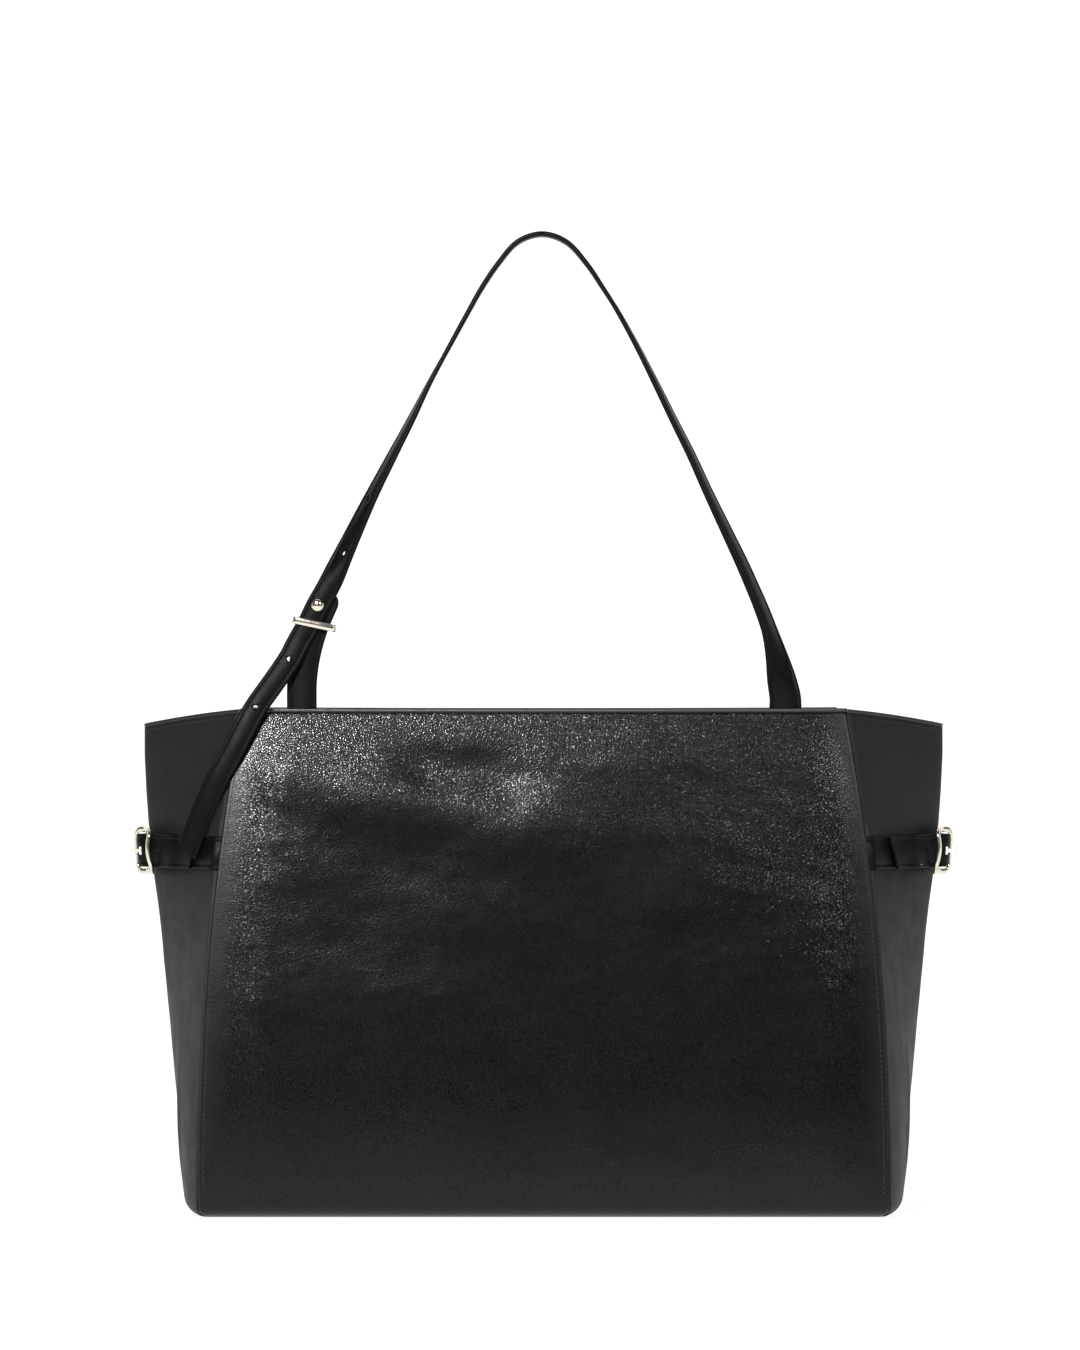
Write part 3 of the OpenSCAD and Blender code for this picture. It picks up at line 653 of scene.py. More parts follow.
def top_bindings():
    """The turned, painted edge along the top of each panel: a rounded band that sags a little."""
    section = flat_round(1.5, 1.35, 0.6, 16)
    half = seam_x(BODY_H) + BINDING_LAP
    for name, side in PANELS.items():
        rings = []
        for x in np.linspace(-half, half, 90):
            sag = 0.5 * (1 - (x / half) ** 2)
            c = np.array([x, side * (half_depth(BODY_H) - 1.0), BODY_H - 1.35 - sag])
            rings.append([c + np.array([0, p, q]) for p, q in section])
        obj = round_edges(tube(name + "_top_edge", rings), 0.5, 2, 60)
        finish_piece(obj, "bag_body", "edge_paint", [EDGE], name + "_top_binding")


top_bindings()


# ---------- Gussets ----------

GUSSET_COLS = 96
GUSSET_ROWS = 120
FOOT_ROWS = 8
# Beside a seam the gusset's leather is turned in and thicker, from a height up
TURNED_W = 7
TURNED_T = 2.8
TURNED_FROM_Z = 200
WING_STITCH_DROP = 5.0


def gusset_reach(z):
    """Half depth of a gusset at a height, inside the panels and their turned bottoms."""
    under = np.sqrt(np.maximum((TURN_R - PANEL_T) ** 2 - (TURN_R - z) ** 2, 0))
    low = np.where(z < PANEL_T, BASE_HALF_D - TURN_R, half_depth(z) - TURN_R + under)
    return np.where(z < TURN_R, low, half_depth(z) - PANEL_T) - GAP


def gusset_swell(y, z):
    """Slow undulation of a gusset: two soft upright folds near its foot, and a little unevenness."""
    hold = np.clip(z / 30, 0, 1) * np.clip((BODY_H - z) / 30, 0, 1)
    fold = 1.3 * np.exp(-((abs(y) - 34) / 5) ** 2) * np.exp(-((z - 45) / 45) ** 2)
    return (0.45 + 0.45 * lump((0, y, z * 0.6), 40, 3, 2.2) + fold) * hold


def gusset(name, sign):
    """A folded gusset: a few rows round its foot, then rows that rise to the wing's top edge."""
    arc = np.linspace(0, math.pi / 2, FOOT_ROWS + 1)

    def place(inset, i, u):
        k = (i - FOOT_ROWS) / (GUSSET_ROWS - FOOT_ROWS - 1)
        in_foot = i < FOOT_ROWS
        level = FOOT_R * (1 - math.cos(arc[i])) if in_foot else FOOT_R + (BODY_H - 3 - FOOT_R) * k
        reach = float(gusset_reach(level))
        y = (0.35 * u * abs(u) + 0.65 * u) * reach
        z = level if in_foot else FOOT_R + (wing_top(y) - 2.4 - FOOT_R) * k
        turned = max(0.0, 1 - (reach - abs(y)) / TURNED_W) ** 2 if inset else 0.0
        thicker = TURNED_T * turned * min(1.0, level / TURNED_FROM_Z)
        return sign * (gusset_x(y, z) + gusset_swell(y, z) - inset - thicker), y, z

    grids = skins((0.0, GUSSET_T), range(GUSSET_ROWS), GUSSET_COLS, place)
    obj = slab(name + "_gusset_leather", *grids, 0.5)
    finish_piece(obj, "bag_body", "smooth_leather", [SMOOTH], name + "_gusset")


def wing_edge(name, sign):
    """The painted edge along a wing's top, and the stitches below it."""
    ys = np.linspace(-1, 1, 97) * (half_depth(BODY_H) - BINDING_LAP)
    path = []
    for y in ys:
        z = float(wing_top(y))
        path.append([sign * (float(gusset_x(y, z)) - 1.1), y, z - 1.25])
    path = np.array(path)
    section = flat_round(1.5, 1.25, 0.6, 14)
    rings = []
    for c, d in zip(path, tangents(path)):
        out = unit(np.cross(d, [0, 0, 1])) * -sign
        rings.append([c + out * p + np.array([0, 0, q]) for p, q in section])
    obj = tube(name + "_wing_edge", rings)
    finish_piece(obj, "bag_body", "edge_paint", [EDGE], name + "_top_binding")
    row = []
    for y in ys[2:-2]:
        z = float(wing_top(y)) - WING_STITCH_DROP
        slope = float(gusset_x(y + 0.5, z) - gusset_x(y - 0.5, z))
        out = float(gusset_x(y, z)) + float(gusset_swell(y, z))
        row.append(([sign * out, y, z], unit([sign, -slope, 0])))
    stitches(name + "_wing_stitches", [tuple(zip(*row))], "bag_body")


for side_name, side_sign in SIDES.items():
    gusset(side_name, side_sign)
    wing_edge(side_name, side_sign)


# ---------- Base, lining, facing and pocket ----------

def base_plate(name, inset, low, high, slot, material, node):
    """A layer of the base that fits between the gussets, a little uneven off the ground."""
    reach = BASE_HALF_D - TURN_R - GAP - inset

    def place(z, y, u):
        x = u * (gusset_x(y, 0.0) - GUSSET_T - GAP - inset)
        bow = 0.12 * lump((x, y, 0), 60, 2, 5) if z > 1 else 0
        return x, y, z + bow

    obj = slab(name, *skins((high, low), np.linspace(-reach, reach, 41), 61, place), 0.3)
    finish_piece(obj, "bag_body", slot, [material], node)


base_plate("base_leather", 0, 0.0, PANEL_T, "smooth_leather", SMOOTH, "base_panel")
base_plate("base_stiffener", 10, PANEL_T + 0.3, PANEL_T + 2.7, "board", BOARD, "base_board")
base_plate("base_lining", 11, PANEL_T + 3.05, PANEL_T + 3.85, "lining", LINING, "lining_base")


def wall(name, side, low, high, inset, thick, side_inset, slot, material, node, wave):
    """A skin on the inside of a panel: lining, facing or pocket."""
    def place(layer, z, u):
        x = u * (seam_x(z) - side_inset)
        ripple = wave * (1 + lump((x, side * 40, z), 24, 3, 3.3)) * (1 - abs(u) ** 6)
        return x, side * (half_depth(z) - inset - layer - ripple), z

    levels = np.linspace(low, high, max(8, int((high - low) / 4)))
    obj = slab(name, *skins((0, thick), levels, 90, place), min(0.35, thick / 3))
    finish_piece(obj, "bag_body", slot, [material], node)


FACING_LOW = BODY_H - 2.3 - 35
SKIN = PANEL_T + 0.5
END_SKIN = PANEL_T + 0.8
# The front facing lies behind the roots of the straps
FACING_INSET = {"front": PANEL_T + STRAP_T + 2.1, "back": SKIN}
for panel_name, panel_side in PANELS.items():
    wall(panel_name + "_lining_cloth", panel_side, 10, FACING_LOW - 1, SKIN, 0.8, 6,
         "lining", LINING, "lining_" + panel_name, 0.25)
for panel_name, panel_side in PANELS.items():
    wall(panel_name + "_facing_leather", panel_side, FACING_LOW, BODY_H - 3, FACING_INSET[panel_name],
         1.2, 9, "smooth_leather", SMOOTH, "facing_" + panel_name, 0.05)
wall("slip_pocket_cloth", 1, 70, 200, SKIN + 1.6, 1.2, 85, "lining", LINING, "slip_pocket", 0.3)


def end_wall(name, sign, drop_high, drop_low, low, inset, thick, reach_inset, slot, material, node,
             wave):
    """A skin on the inside of a gusset. Its low edge is a height, or a drop below the wing's top."""
    def place(layer, k, u):
        level = BODY_H if low is None else low + (BODY_H - low) * k
        y = u * (half_depth(level) - reach_inset)
        top = wing_top(y) - drop_high
        bottom = wing_top(y) - drop_low if low is None else low
        z = bottom + (top - bottom) * k
        ripple = wave * (1 + lump((sign * 50, y, z), 20, 3, 6.1)) * (1 - abs(u) ** 6)
        return sign * (gusset_x(y, z) - inset - layer - ripple), y, z

    levels = np.linspace(0, 1, 60 if low is not None else 14)
    obj = slab(name, *skins((0, thick), levels, 72, place), min(0.35, thick / 3))
    finish_piece(obj, "bag_body", slot, [material], node)


for side_name, side_sign in SIDES.items():
    end_wall(side_name + "_lining_cloth", side_sign, 38.3, 0, 10.0, END_SKIN, 1.2, 8,
             "lining", LINING, "lining_" + side_name, 0.2)
    end_wall(side_name + "_facing_leather", side_sign, 3, 37.3, None, END_SKIN, 1.6, 9,
             "smooth_leather", SMOOTH, "facing_" + side_name, 0.0)


# ---------- Straps ----------

# The creased line beside a strap's edge: (distance from the edge, rise)
EDGE_LINE = ((1.5, 0.14), (1.95, 0.02), (2.4, -0.38), (2.8, -0.3), (3.3, 0.02))


def strap_profile(w, t):
    """Section of a strap as (across, through) points, with which of its sides are painted edge."""
    r = 0.42 * t
    lined = [(w / 2 - distance, rise) for distance, rise in EDGE_LINE]
    face = lined + [(0, 0.1)] + [(-a, b) for a, b in reversed(lined)]
    points = []
    painted = []
    for corner in range(4):
        sx = 1 if corner in (0, 3) else -1
        sy = 1 if corner < 2 else -1
        for k in range(4):
            a = math.radians(90 * corner + 30 * k)
            points.append((sx * (w / 2 - r) + r * math.cos(a), sy * (t / 2 - r) + r * math.sin(a)))
            painted.append(1)
        if corner % 2 == 0:
            painted[-1] = 0
            points += [(sx * a, sy * (t / 2 + b)) for a, b in face]
            painted += [0] * len(face)
    return np.array(points), painted


def strap_rings(path, across, normal, widths):
    """A ring of points round a strap at each place along it."""
    rings = []
    for c, a, n, w in zip(path, across, normal, widths):
        rings.append([c + a * p + n * q for p, q in strap_profile(w, STRAP_T)[0]])
    return np.array(rings)


def strap_stitch_runs(path, across, normal, widths, skip):
    """Stitch rows near both edges, on both faces."""
    runs = []
    from_middle = widths[:, None] / 2 - STITCH_IN
    for face in (-1, 1):
        for edge in (-1, 1):
            points = path + across * (edge * from_middle) + normal * face * (STRAP_T / 2 - STITCH_SINK)
            runs.append((points[skip:-skip], (normal * face)[skip:-skip]))
    return runs


def cut(obj, cutters):
    """Takes the cutters out of a piece."""
    for tool in cutters:
        boolean = obj.modifiers.new("cut", "BOOLEAN")
        boolean.operation = "DIFFERENCE"
        boolean.object = tool
        boolean.solver = "EXACT"
    apply_modifiers(obj)
    for tool in cutters:
        bpy.data.objects.remove(tool)


def punch(centre, normal, radius, length):
    """A round cutter through a strap."""
    n = unit(normal)
    side = unit(np.cross(n, [0.3, 0.9, 0.2]))
    other = np.cross(n, side)
    rings = []
    for end in (-0.5, 0.5):
        rings.append([np.asarray(centre) + n * length * end
                      + radius * (side * math.cos(a) + other * math.sin(a))
                      for a in full_turn(24)])
    return tube("punch", rings)


STRAP_RUN = [
    (146, 306.6, 90), (145.8, 312, 86), (144, 321, 75), (141, 335, 50), (137, 350, 33), (132, 364, 29),
    (125.7, 379, 27), (119.5, 393, 26), (109, 415, 23), (99, 436, 20), (89, 458, 18),
    (78.5, 479, 14.5), (67.7, 501, 11), (56.6, 523, 7), (45, 544, 4), (35.5, 559, 2),
    (26, 573, 1), (14, 586, 0), (-1, 591, 0), (-16, 586, 0), (-27.5, 573, 0),
    (-37, 559, 0), (-45.5, 544, 1), (-57, 523, 2), (-69, 501, 6), (-80, 479, 15),
    (-91, 458, 22), (-105, 430.8, 32), (-120.4, 398.4, 56), (-129, 380, 87),
    (-136.3, 367, 90), (-141.9, 355.5, 90), (-148.1, 344.9, 90),
]
STRAP_HOLES = (27, 28, 30)
TAIL_RUN = [
    (-148.8, -50.5, 343.6), (-153.2, -53, 334.6), (-163, -56.4, 320), (-173.4, -58, 305.2),
    (-181, -59.8, 291), (-188.5, -60.6, 276.5), (-197.5, -60.4, 260), (-206.5, -58, 240),
    (-215, -54, 218), (-217.6, -54.4, 211.8),
]
TAIL_CUT = ((-219.8, 224.0), (-209.8, 212.6))
TAIL_HOLES = (1, 3)
ANCHOR_RUN = [(-146, 306.4), (-145.8, 322), (-143.5, 338), (-139, 354), (-134, 366), (-129.6, 375.5)]
ANCHOR_END = 7.5
RUN_STEPS = 6


def sideways(d):
    """The direction across a run, flat to the front."""
    return np.stack([d[:, 2], 0 * d[:, 0], -d[:, 0]], axis=1)


def strap_frames():
    """The long strap's path, with its width direction, face normal and width along it."""
    run = smooth_run(STRAP_RUN, RUN_STEPS)
    share = np.minimum(1, 1.15 * np.arange(len(run)) / (len(run) - 1))
    path = np.stack([run[:, 0], STRAP_Y + (STRAP_FRONT_Y - STRAP_Y) * share, run[:, 1]], axis=1)
    out = sideways(tangents(path * np.array([1, 0, 1])))
    turn = np.radians(run[:, 2])[:, None]
    ahead = np.array([0, 1.0, 0])
    normal = out * np.cos(turn) - ahead * np.sin(turn)
    across = out * np.sin(turn) + ahead * np.cos(turn)
    rise = np.clip((run[:, 1] - BODY_H) / 150, 0, 1) ** 0.8
    widths = np.where(run[:, 0] < 0, STRAP_W, STRAP_ROOT_W + (STRAP_W - STRAP_ROOT_W) * rise)
    return path, across, normal, widths


def tail_frames():
    """The same for the free tail."""
    path = smooth_run(TAIL_RUN, RUN_STEPS)
    d = tangents(path)
    across = unit(sideways(d))
    return path, across, unit(np.cross(across, d)), np.full(len(path), STRAP_W)


def root_frames(x, width, low=267.0, high=291.0):
    """The same for a strap's end inside the front panel, up to where it leaves the bag."""
    zs = np.linspace(low, high, 9)
    ys = STRAP_T / 2 - (half_depth(zs) - PANEL_T - GAP)
    path = [(x, y, z) for y, z in zip(ys, zs)]
    for u, k in ((0.3, 0.16), (0.55, 0.5), (0.8, 0.84), (1.0, 1.0)):
        path.append((x, ys[-1] + (STRAP_Y - ys[-1]) * k, high + 11 * u))
    ones = np.ones((len(path), 1))
    return np.array(path), ones * [1, 0, 0], ones * [0, -1, 0], np.full(len(path), width)


def stretch(frames, start, end):
    """A stretch of a run's path, directions and widths."""
    return [values[start:end] for values in frames]


def chain(*runs):
    """Runs joined end to end."""
    return [np.concatenate(values) for values in zip(*runs)]


def join(obj, other, slot):
    """Adds another mesh to a piece, using one of the piece's materials."""
    other.data.polygons.foreach_set("material_index", [slot] * len(other.data.polygons))
    with editing(obj) as bm:
        bm.from_mesh(other.data)
    bpy.data.objects.remove(other)


def strap_piece(name, frames, holes, skip, nodes, end_cut=None):
    """One length of strap with its holes and its stitches."""
    section = strap_profile(STRAP_W, STRAP_T)[1]
    obj = tube(name, strap_rings(*frames), materials=section)
    cut(obj, [punch(c, n, HOLE_R, 12) for c, n in holes])
    if end_cut:
        trim(obj, *end_cut)
    join(obj, stitches(name + "_stitches", strap_stitch_runs(*frames, skip), None), 2)
    finish_piece(obj, None, "strap_leather", [STRAP, EDGE, THREAD], *nodes)
    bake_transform(obj)


def trim(obj, left, right):
    """Cuts a strap off square to its face along a slanted line between two (x, z) points."""
    dx, dz = right[0] - left[0], right[1] - left[1]
    with editing(obj) as bm:
        found = bmesh.ops.bisect_plane(
            bm, geom=bm.verts[:] + bm.edges[:] + bm.faces[:], plane_co=Vector((left[0], 0, left[1])) * MM,
            plane_no=Vector((dz, 0, -dx)), clear_outer=True)
        rim = [e for e in found["geom_cut"] if isinstance(e, bmesh.types.BMEdge)]
        for face in bmesh.ops.contextual_create(bm, geom=rim)["faces"]:
            face.material_index = 1
        bmesh.ops.recalc_face_normals(bm, faces=bm.faces)


def at_node(frames, index):
    """The place and face direction at one of the listed points of a smooth run."""
    return frames[0][index * RUN_STEPS], frames[2][index * RUN_STEPS]


def shoulder_strap():
    """The long strap, in two halves that meet at its top. The left one goes on as the free tail."""
    strap = strap_frames()
    tail = tail_frames()
    top = 18 * RUN_STEPS
    strap_piece("strap_right_half", chain(root_frames(146.0, STRAP_ROOT_W), stretch(strap, 0, top + 1)),
                [], 12, ("strap_root_right",))
    holes = [at_node(strap, h) for h in STRAP_HOLES] + [at_node(tail, h) for h in TAIL_HOLES]
    strap_piece("strap_left_half", chain(stretch(strap, top, -2), stretch(tail, 2, None)),
                holes, 9, ("shoulder_strap", "strap_tail"), TAIL_CUT)


shoulder_strap()


def strap_anchor():
    """The short strap on the left, with a rounded end behind the long strap."""
    run = smooth_run(ANCHOR_RUN, RUN_STEPS)
    path = np.stack([run[:, 0], np.full(len(run), STRAP_Y), run[:, 1]], axis=1)
    legs = np.concatenate([[0], np.cumsum(np.linalg.norm(np.diff(path, axis=0), axis=1))])
    left = np.clip((legs[-1] - legs) / ANCHOR_END, 0, 1)
    widths = ANCHOR_W * (0.35 + 0.65 * np.sqrt(1 - (1 - left) ** 2))
    forward = np.array([0, -1.0, 0])
    frames = path, sideways(tangents(path)), np.tile(forward, (len(path), 1)), widths
    hole = np.array([STUD[0], STRAP_Y, STUD[1]]), forward
    strap_piece("short_strap", chain(root_frames(-146.0, ANCHOR_W), frames), [hole], 12,
                ("strap_root_left", "strap_anchor"))


strap_anchor()


# ---------- Strap hardware ----------

RING_HALF_W = 12.2
RING_WALL = 1.1
RING_BAND = 4.3
STUD_R = 3.85


def rounded_loop(w, h, r, per_corner=8):
    """A rounded rectangle as points, with the outward direction at each."""
    points = []
    outward = []
    for corner in range(4):
        cx = (1 if corner in (0, 3) else -1) * (w / 2 - r)
        cy = (1 if corner < 2 else -1) * (h / 2 - r)
        for a in np.radians(90 * corner + np.linspace(0, 90, per_corner)):
            points.append((cx + r * math.cos(a), cy + r * math.sin(a)))
            outward.append((math.cos(a), math.sin(a)))
    return np.array(points), np.array(outward)


def strap_ring():
    """The ring round both straps: a band with a domed outer face."""
    inner_d = 2 * STRAP_T + 7 * GAP
    points, outward = rounded_loop(2 * RING_HALF_W + RING_WALL, inner_d + RING_WALL, 1.6)
    centre = np.array([RING[0], STRAP_Y - STRAP_T / 2 - GAP / 2, RING[1]])
    across = np.array([math.cos(RING_TILT), 0, -math.sin(RING_TILT)])
    along = np.array([math.sin(RING_TILT), 0, math.cos(RING_TILT)])
    section = [(-0.95, -0.5), (-1.0, -0.3), (-1.0, 0.1), (-0.93, 0.36), (-0.78, 0.52), (-0.5, 0.66)]
    section += [(0, 0.74)] + [(-p, q) for p, q in reversed(section)]
    rings = []
    for (u, v), (a, b) in zip(points, outward):
        out = across * a + np.array([0, b, 0])
        base = centre + across * u + np.array([0, v, 0])
        rings.append([base + along * RING_BAND / 2 * p + out * q * RING_WALL for p, q in section])
    obj = tube("keeper_ring", rings, closed=True)
    finish_piece(obj, "strap_ring", "metal", [METAL], "strap_ring")


def strap_stud():
    """The stud that holds the strap to its anchor: a neck, a flange and a polished dome."""
    stack = 2 * STRAP_T + GAP
    r = STUD_R
    outline = [(1.5, 0.2), (1.5, stack + 0.35), (r - 0.5, stack + 0.4), (r - 0.12, stack + 0.52),
               (r, stack + 0.75), (r, stack + 0.95)]
    for a in np.radians(np.arange(6, 90, 6)):
        outline.append((r * math.cos(a), stack + 1 + 1.8 * math.sin(a)))
    outline.append((0.06, stack + 2.8))
    centre = np.array([STUD[0], STRAP_Y + STRAP_T / 2, STUD[1]])
    rings = [[centre + np.array([radius * math.cos(a), -out, radius * math.sin(a)])
              for a in full_turn(64)] for radius, out in outline]
    obj = tube("stud_head", rings)
    finish_piece(obj, "shoulder_strap", "metal", [METAL], "strap_stud")


strap_ring()
strap_stud()


# ---------- Side belts and buckles ----------

ALONG = np.array([math.sin(BUCKLE_TURN), math.cos(BUCKLE_TURN)])
OUT = np.array([math.cos(BUCKLE_TURN), -math.sin(BUCKLE_TURN)])
SEAT = 2 * GAP + BELT_T / 2
EYE_R = BAR_R + 0.5 + BELT_T / 2
OVER = EYE_R + BELT_T + 2 * GAP
LAYER = BELT_T + 2 * GAP


def off_wing(y, out):
    """A point off the wing's outer face at the belt's height, in plan."""
    d = unit([gusset_x(y + 0.5, BELT_Z) - gusset_x(y - 0.5, BELT_Z), 1])
    return np.array([gusset_x(y, BELT_Z) + d[1] * out, y - d[0] * out])


def in_buckle(u, out):
    """A point in the buckle's own directions, in plan: towards the back, and outwards."""
    return BUCKLE_AT + ALONG * u + OUT * out


def from_seam(side, ys):
    """A belt's start: up out of a seam, then along the wing. side is -1 at the front."""
    turned = [off_wing(side * 64.4, SEAT - 3), off_wing(side * 62.6, SEAT - 0.4)]
    return turned + [off_wing(y, SEAT) for y in ys]


BASE_BELT_RUN = from_seam(-1, (-60, -52, -40, -30, -22, -16)) + [
    in_buckle(0.4, -EYE_R), in_buckle(EYE_R * 0.75, -EYE_R * 0.7), in_buckle(EYE_R, 0),
    in_buckle(EYE_R * 0.7, EYE_R * 0.7), in_buckle(0, EYE_R), in_buckle(-EYE_R * 0.8, EYE_R * 0.55),
    in_buckle(-7, -1.9), in_buckle(-12.6, -3.75),
    off_wing(-22.8, SEAT + LAYER), off_wing(-29, SEAT + LAYER),
]
TAIL_BELT_RUN = from_seam(1, (60, 50, 36, 22, 11)) + [
    off_wing(5.5, SEAT + 0.3), off_wing(1, SEAT + 1.1), in_buckle(6.8, 0.6), in_buckle(3, OVER - 0.9),
    in_buckle(-0.5, OVER), in_buckle(-4.5, OVER - 1.3), in_buckle(-9, 0.9), in_buckle(-13.2, -1.2),
    off_wing(-29.5, SEAT + 2 * BELT_T + 4 * GAP), off_wing(-36, SEAT + BELT_T + 1.3),
    off_wing(-42, SEAT + LAYER), off_wing(-48, SEAT + LAYER),
]
TAIL_SKEW = 0.34
PRONG_SLOT = 5.0


def belt_point(p, h):
    """A point of a belt's plan at a height off its middle: it keeps its distance from the wing."""
    y = p[1] * half_depth(BELT_Z + h) / half_depth(BELT_Z)
    return np.array([p[0] + gusset_x(y, BELT_Z + h) - gusset_x(p[1], BELT_Z), y, BELT_Z + h])


LEAN = math.atan(float(gusset_x(-10, BELT_Z + 5) - gusset_x(-10, BELT_Z - 5)) / 10)


def buckle_point(u, v, w):
    """A point in the buckle's frame: along the belt, up, and outwards."""
    flat = ALONG * u + OUT * w
    x = flat[0] * math.cos(LEAN) + v * math.sin(LEAN)
    z = -flat[0] * math.sin(LEAN) + v * math.cos(LEAN)
    return np.array([BUCKLE_AT[0] + x, BUCKLE_AT[1] + flat[1], BELT_Z + z])


def slot_cutter(u, w):
    """A square cutter for a prong's slot, from (low, high) pairs along the belt and outwards."""
    half = PRONG_SLOT / 2
    corners = (-half, w[0]), (half, w[0]), (half, w[1]), (-half, w[1])
    return tube("cutter", [[buckle_point(a, b, c) for b, c in corners] for a in u])


def belt_rings(run, skew):
    """A belt's rings, which of its sides are painted, and its two stitch rows. skew slants its end."""
    path = smooth_run(run, RUN_STEPS)
    d = tangents(path)
    normal = np.stack([d[:, 1], -d[:, 0]], axis=1)
    section, painted = strap_profile(BELT_W, BELT_T)
    rings = []
    for i, (c, n, t) in enumerate(zip(path, normal, d)):
        k = max(0.0, (i - (len(path) - 1 - RUN_STEPS)) / RUN_STEPS) * skew
        rings.append([belt_point(c + n * q + t * k * p, p) for p, q in section])
    rows = []
    for edge in (-1, 1):
        h = edge * (BELT_W / 2 - STITCH_IN)
        row = [(belt_point(c + n * (BELT_T / 2 - STITCH_SINK), h), [n[0], n[1], 0])
               for c, n in zip(path[2:-3], normal[2:-3])]
        rows.append(tuple(zip(*row)))
    return rings, painted, rows


def mirrored(points, sign):
    """Points made on the right, brought to the side of the sign."""
    return np.asarray(points) * np.array([sign, 1, 1])


def belt(name, sign, run, skew, cutters, node):
    """A belt with its slot or hole and its stitches, made on the right and mirrored for the left."""
    rings, painted, rows = belt_rings(run, skew)
    obj = tube(name, rings, materials=painted)
    cut(obj, cutters())
    if sign < 0:
        flip(obj)
    rows = [(mirrored(p, sign), mirrored(n, sign)) for p, n in rows]
    join(obj, stitches(name + "_stitches", rows, None), 2)
    finish_piece(obj, "bag_body", "strap_leather", [STRAP, EDGE, THREAD], node)


def flip(obj):
    """Mirrors a mesh left to right and keeps its faces outwards."""
    with editing(obj) as bm:
        bmesh.ops.scale(bm, vec=(-1, 1, 1), verts=bm.verts)
        bmesh.ops.reverse_faces(bm, faces=bm.faces)


def base_cutters():
    """The slot where the base strap turns round the centre bar."""
    return [slot_cutter((-3.6, 5.4), (-4.6, 6.4))]


def tail_cutters():
    """The slot that the prong comes through, and the belt's next hole."""
    centre = buckle_point(-18.5, 0, 0)
    ahead = buckle_point(-18.5, 0, 1) - centre
    return [slot_cutter((-4, 10), (-2, 8)), punch(centre, ahead, 1.4, 22)]


def buckle_height(u, v):
    """How far the buckle's frame stands out: the front bar arches over the belt."""
    front = min(1, max(0, (-u - 3) / (BUCKLE_LEN / 2 - 3)))
    middle = math.cos(min(math.pi / 2, math.pi * abs(v) / BUCKLE_H))
    return BAR_ARCH * front * (0.4 + 0.6 * middle) + BACK_LIFT * min(1, max(0, (u - 3) / 10))


def buckle_frame(name, sign):
    """One bent, polished bar: flattened and a little broader than it is thick."""
    points, _ = rounded_loop(BUCKLE_LEN, BUCKLE_H - 2.7, 5, 10)
    dense = []
    for a, b in zip(points, np.roll(points, -1, axis=0)):
        steps = max(1, int(np.linalg.norm(b - a) / 1.2))
        dense += [a + (b - a) * k / steps for k in range(steps)]
    path = np.array([(u, v, buckle_height(u, v)) for u, v in dense])
    d = unit(np.roll(path, -1, axis=0) - np.roll(path, 1, axis=0))
    side = unit(np.cross(d, [0, 0, 1.0]))
    up = np.cross(side, d)
    section = flat_round(1.85, 1.2, 0.75, 16)
    rings = [[buckle_point(*(c + a * p + b * q)) for p, q in section]
             for c, a, b in zip(path, side, up)]
    obj = tube(name + "_buckle_loop", mirrored(rings, sign), closed=True)
    finish_piece(obj, name + "_buckle", "metal", [METAL], name + "_buckle_frame")


for side_name, side_sign in SIDES.items():
    belt(side_name + "_front_belt", side_sign, BASE_BELT_RUN, 0.0, base_cutters,
         side_name + "_belt_base")
    belt(side_name + "_back_belt", side_sign, TAIL_BELT_RUN, TAIL_SKEW, tail_cutters,
         side_name + "_belt_tail")
    buckle_frame(side_name, side_sign)


# ---------- CAD parts that stay, with better materials ----------

KEPT = {
    "zip_tape": TAPE, "zip_teeth": METAL, "zip_slider": METAL, "zip_pull": METAL, "snap_socket": METAL,
    "snap_plug": METAL, "stud_screw": METAL, "left_buckle_bar": METAL, "right_buckle_bar": METAL,
    "left_buckle_prong": METAL, "right_buckle_prong": METAL,
}
for node_name, node_material in KEPT.items():
    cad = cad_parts[node_name]
    cad.data.materials.clear()
    cad.data.materials.append(node_material)


# ---------- Floor, light and camera ----------

def studio_white():
    """Pale paper that glows evenly near the object and behind it, and dims towards the front."""
    n = Nodes("studio_white")
    where = n.add("SeparateXYZ", {"Vector": n.coords}).outputs["Y"]
    near = n.math("ADD", n.ramp(where, -1.5, -0.7, 0.6, 0.88), n.ramp(where, 0.8, 2.4, 0.0, 0.12))
    tint = n.mix(n.noise(400, 2), (0.24, 0.24, 0.24), (0.22, 0.22, 0.22))
    return n.set(Base_Color=tint, Roughness=0.9, Specular_IOR_Level=0.1, Emission_Color=(1, 1, 1, 1),
                 Emission_Strength=near)


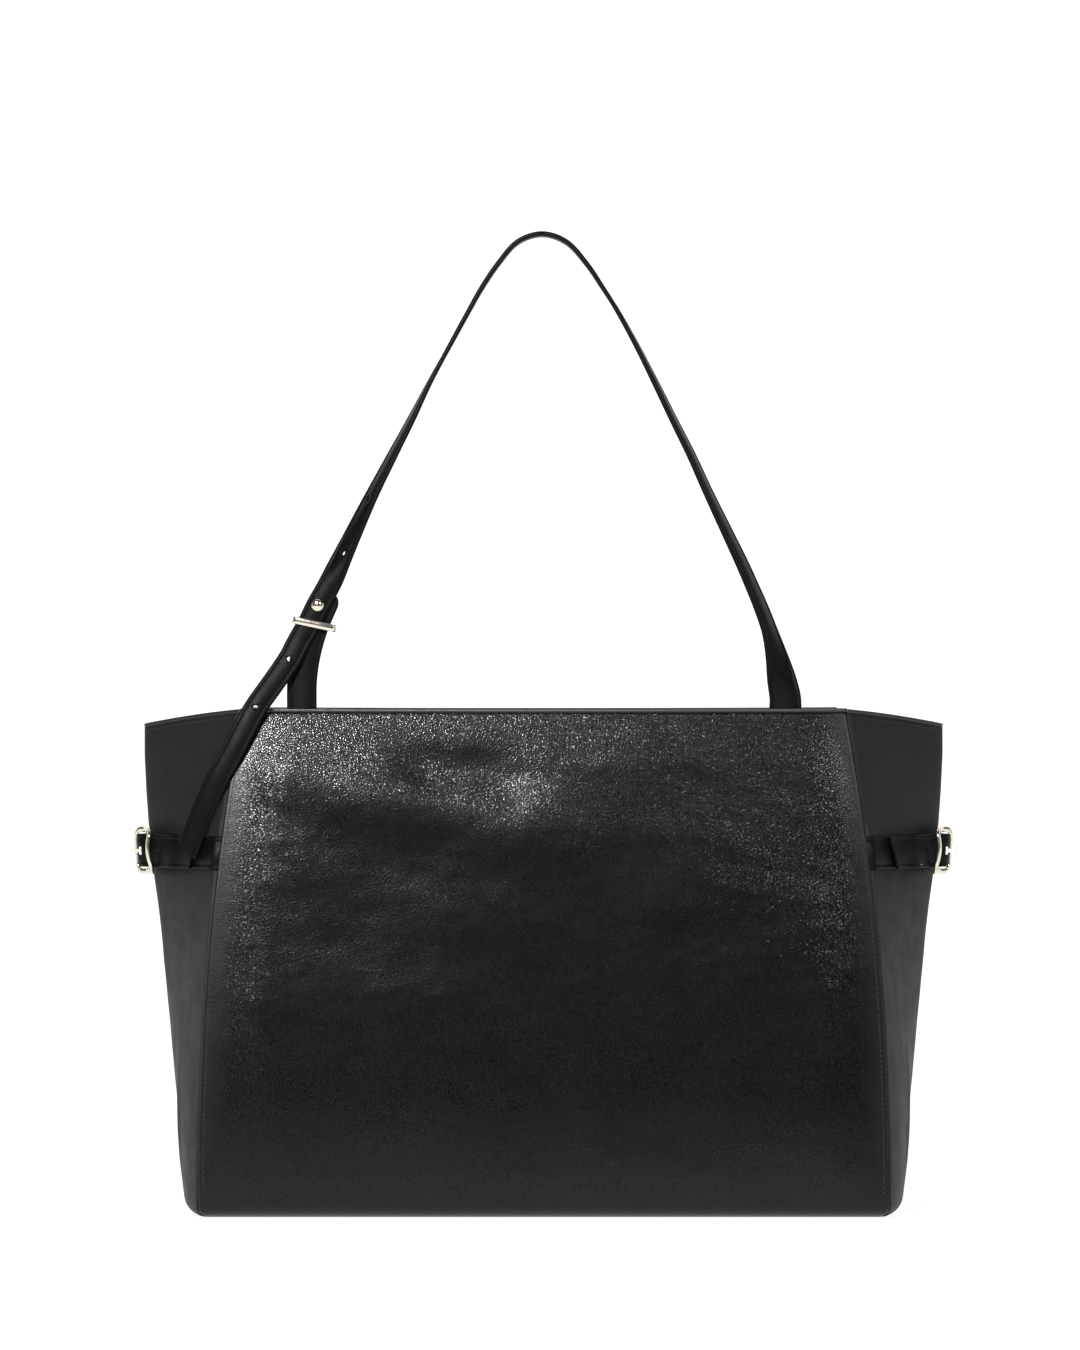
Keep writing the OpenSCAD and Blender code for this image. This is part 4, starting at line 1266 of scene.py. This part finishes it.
def studio_floor():
    """A pale floor that curves up into a wall behind."""
    half = 6000.0
    bend_from = 2200.0
    radius = 900.0
    drop = 0.3
    profile = [(-4500.0, 0.0), (0.0, 0.0), (bend_from, 0.0)]
    profile += [(bend_from + radius * math.sin(a), radius - radius * math.cos(a))
                for a in np.linspace(0, math.pi / 2, 14)[1:]]
    profile.append((bend_from + radius, 5000.0))
    grid = np.array([[(x, y, z - drop) for x in np.linspace(-half, half, 13)] for y, z in profile])
    rows, cols = grid.shape[:2]
    faces = [(i * cols + j, i * cols + j + 1, (i + 1) * cols + j + 1, (i + 1) * cols + j)
             for i in range(rows - 1) for j in range(cols - 1)]
    obj = new_object("studio_floor", grid.reshape(-1, 3), faces)
    obj.data.materials.append(studio_white())


def area_light(name, at, aim, width, height, watts):
    data = bpy.data.lights.new(name, "AREA")
    data.shape = "RECTANGLE"
    data.size = width
    data.size_y = height
    data.energy = watts
    obj = bpy.data.objects.new(name, data)
    obj.location = at
    obj.rotation_euler = (Vector(aim) - Vector(at)).to_track_quat("-Z", "Y").to_euler()
    bpy.context.scene.collection.objects.link(obj)


def studio():
    studio_floor()
    scene = bpy.context.scene
    world = bpy.data.worlds.new("studio_sky")
    world.use_nodes = True
    background = world.node_tree.nodes["Background"]
    background.inputs["Color"].default_value = (1, 1, 1, 1)
    background.inputs["Strength"].default_value = 0.08
    scene.world = world
    middle = (0, 0, 0.25)
    area_light("key", (-0.64, -2.25, 1.40), middle, 0.36, 0.24, 94)
    area_light("kicker", (0.98, -2.25, 1.32), middle, 0.26, 0.26, 16)
    area_light("left_side", (-2.6, -0.4, 0.7), middle, 0.8, 1.6, 3.4)
    area_light("right_side", (2.6, -0.5, 0.7), middle, 0.8, 1.6, 8)
    area_light("top", (0.0, 0.2, 2.8), middle, 2.4, 1.6, 12)
    scene.view_settings.view_transform = "Standard"
    camera = bpy.data.cameras.new("camera")
    camera.sensor_width = 36
    camera.lens = 133.3
    camera.clip_end = 50
    view = bpy.data.objects.new("camera", camera)
    view.location = (-0.0022, -3.066, 0.325)
    view.rotation_euler = (math.pi / 2, 0, 0)
    scene.collection.objects.link(view)
    scene.camera = view


studio()
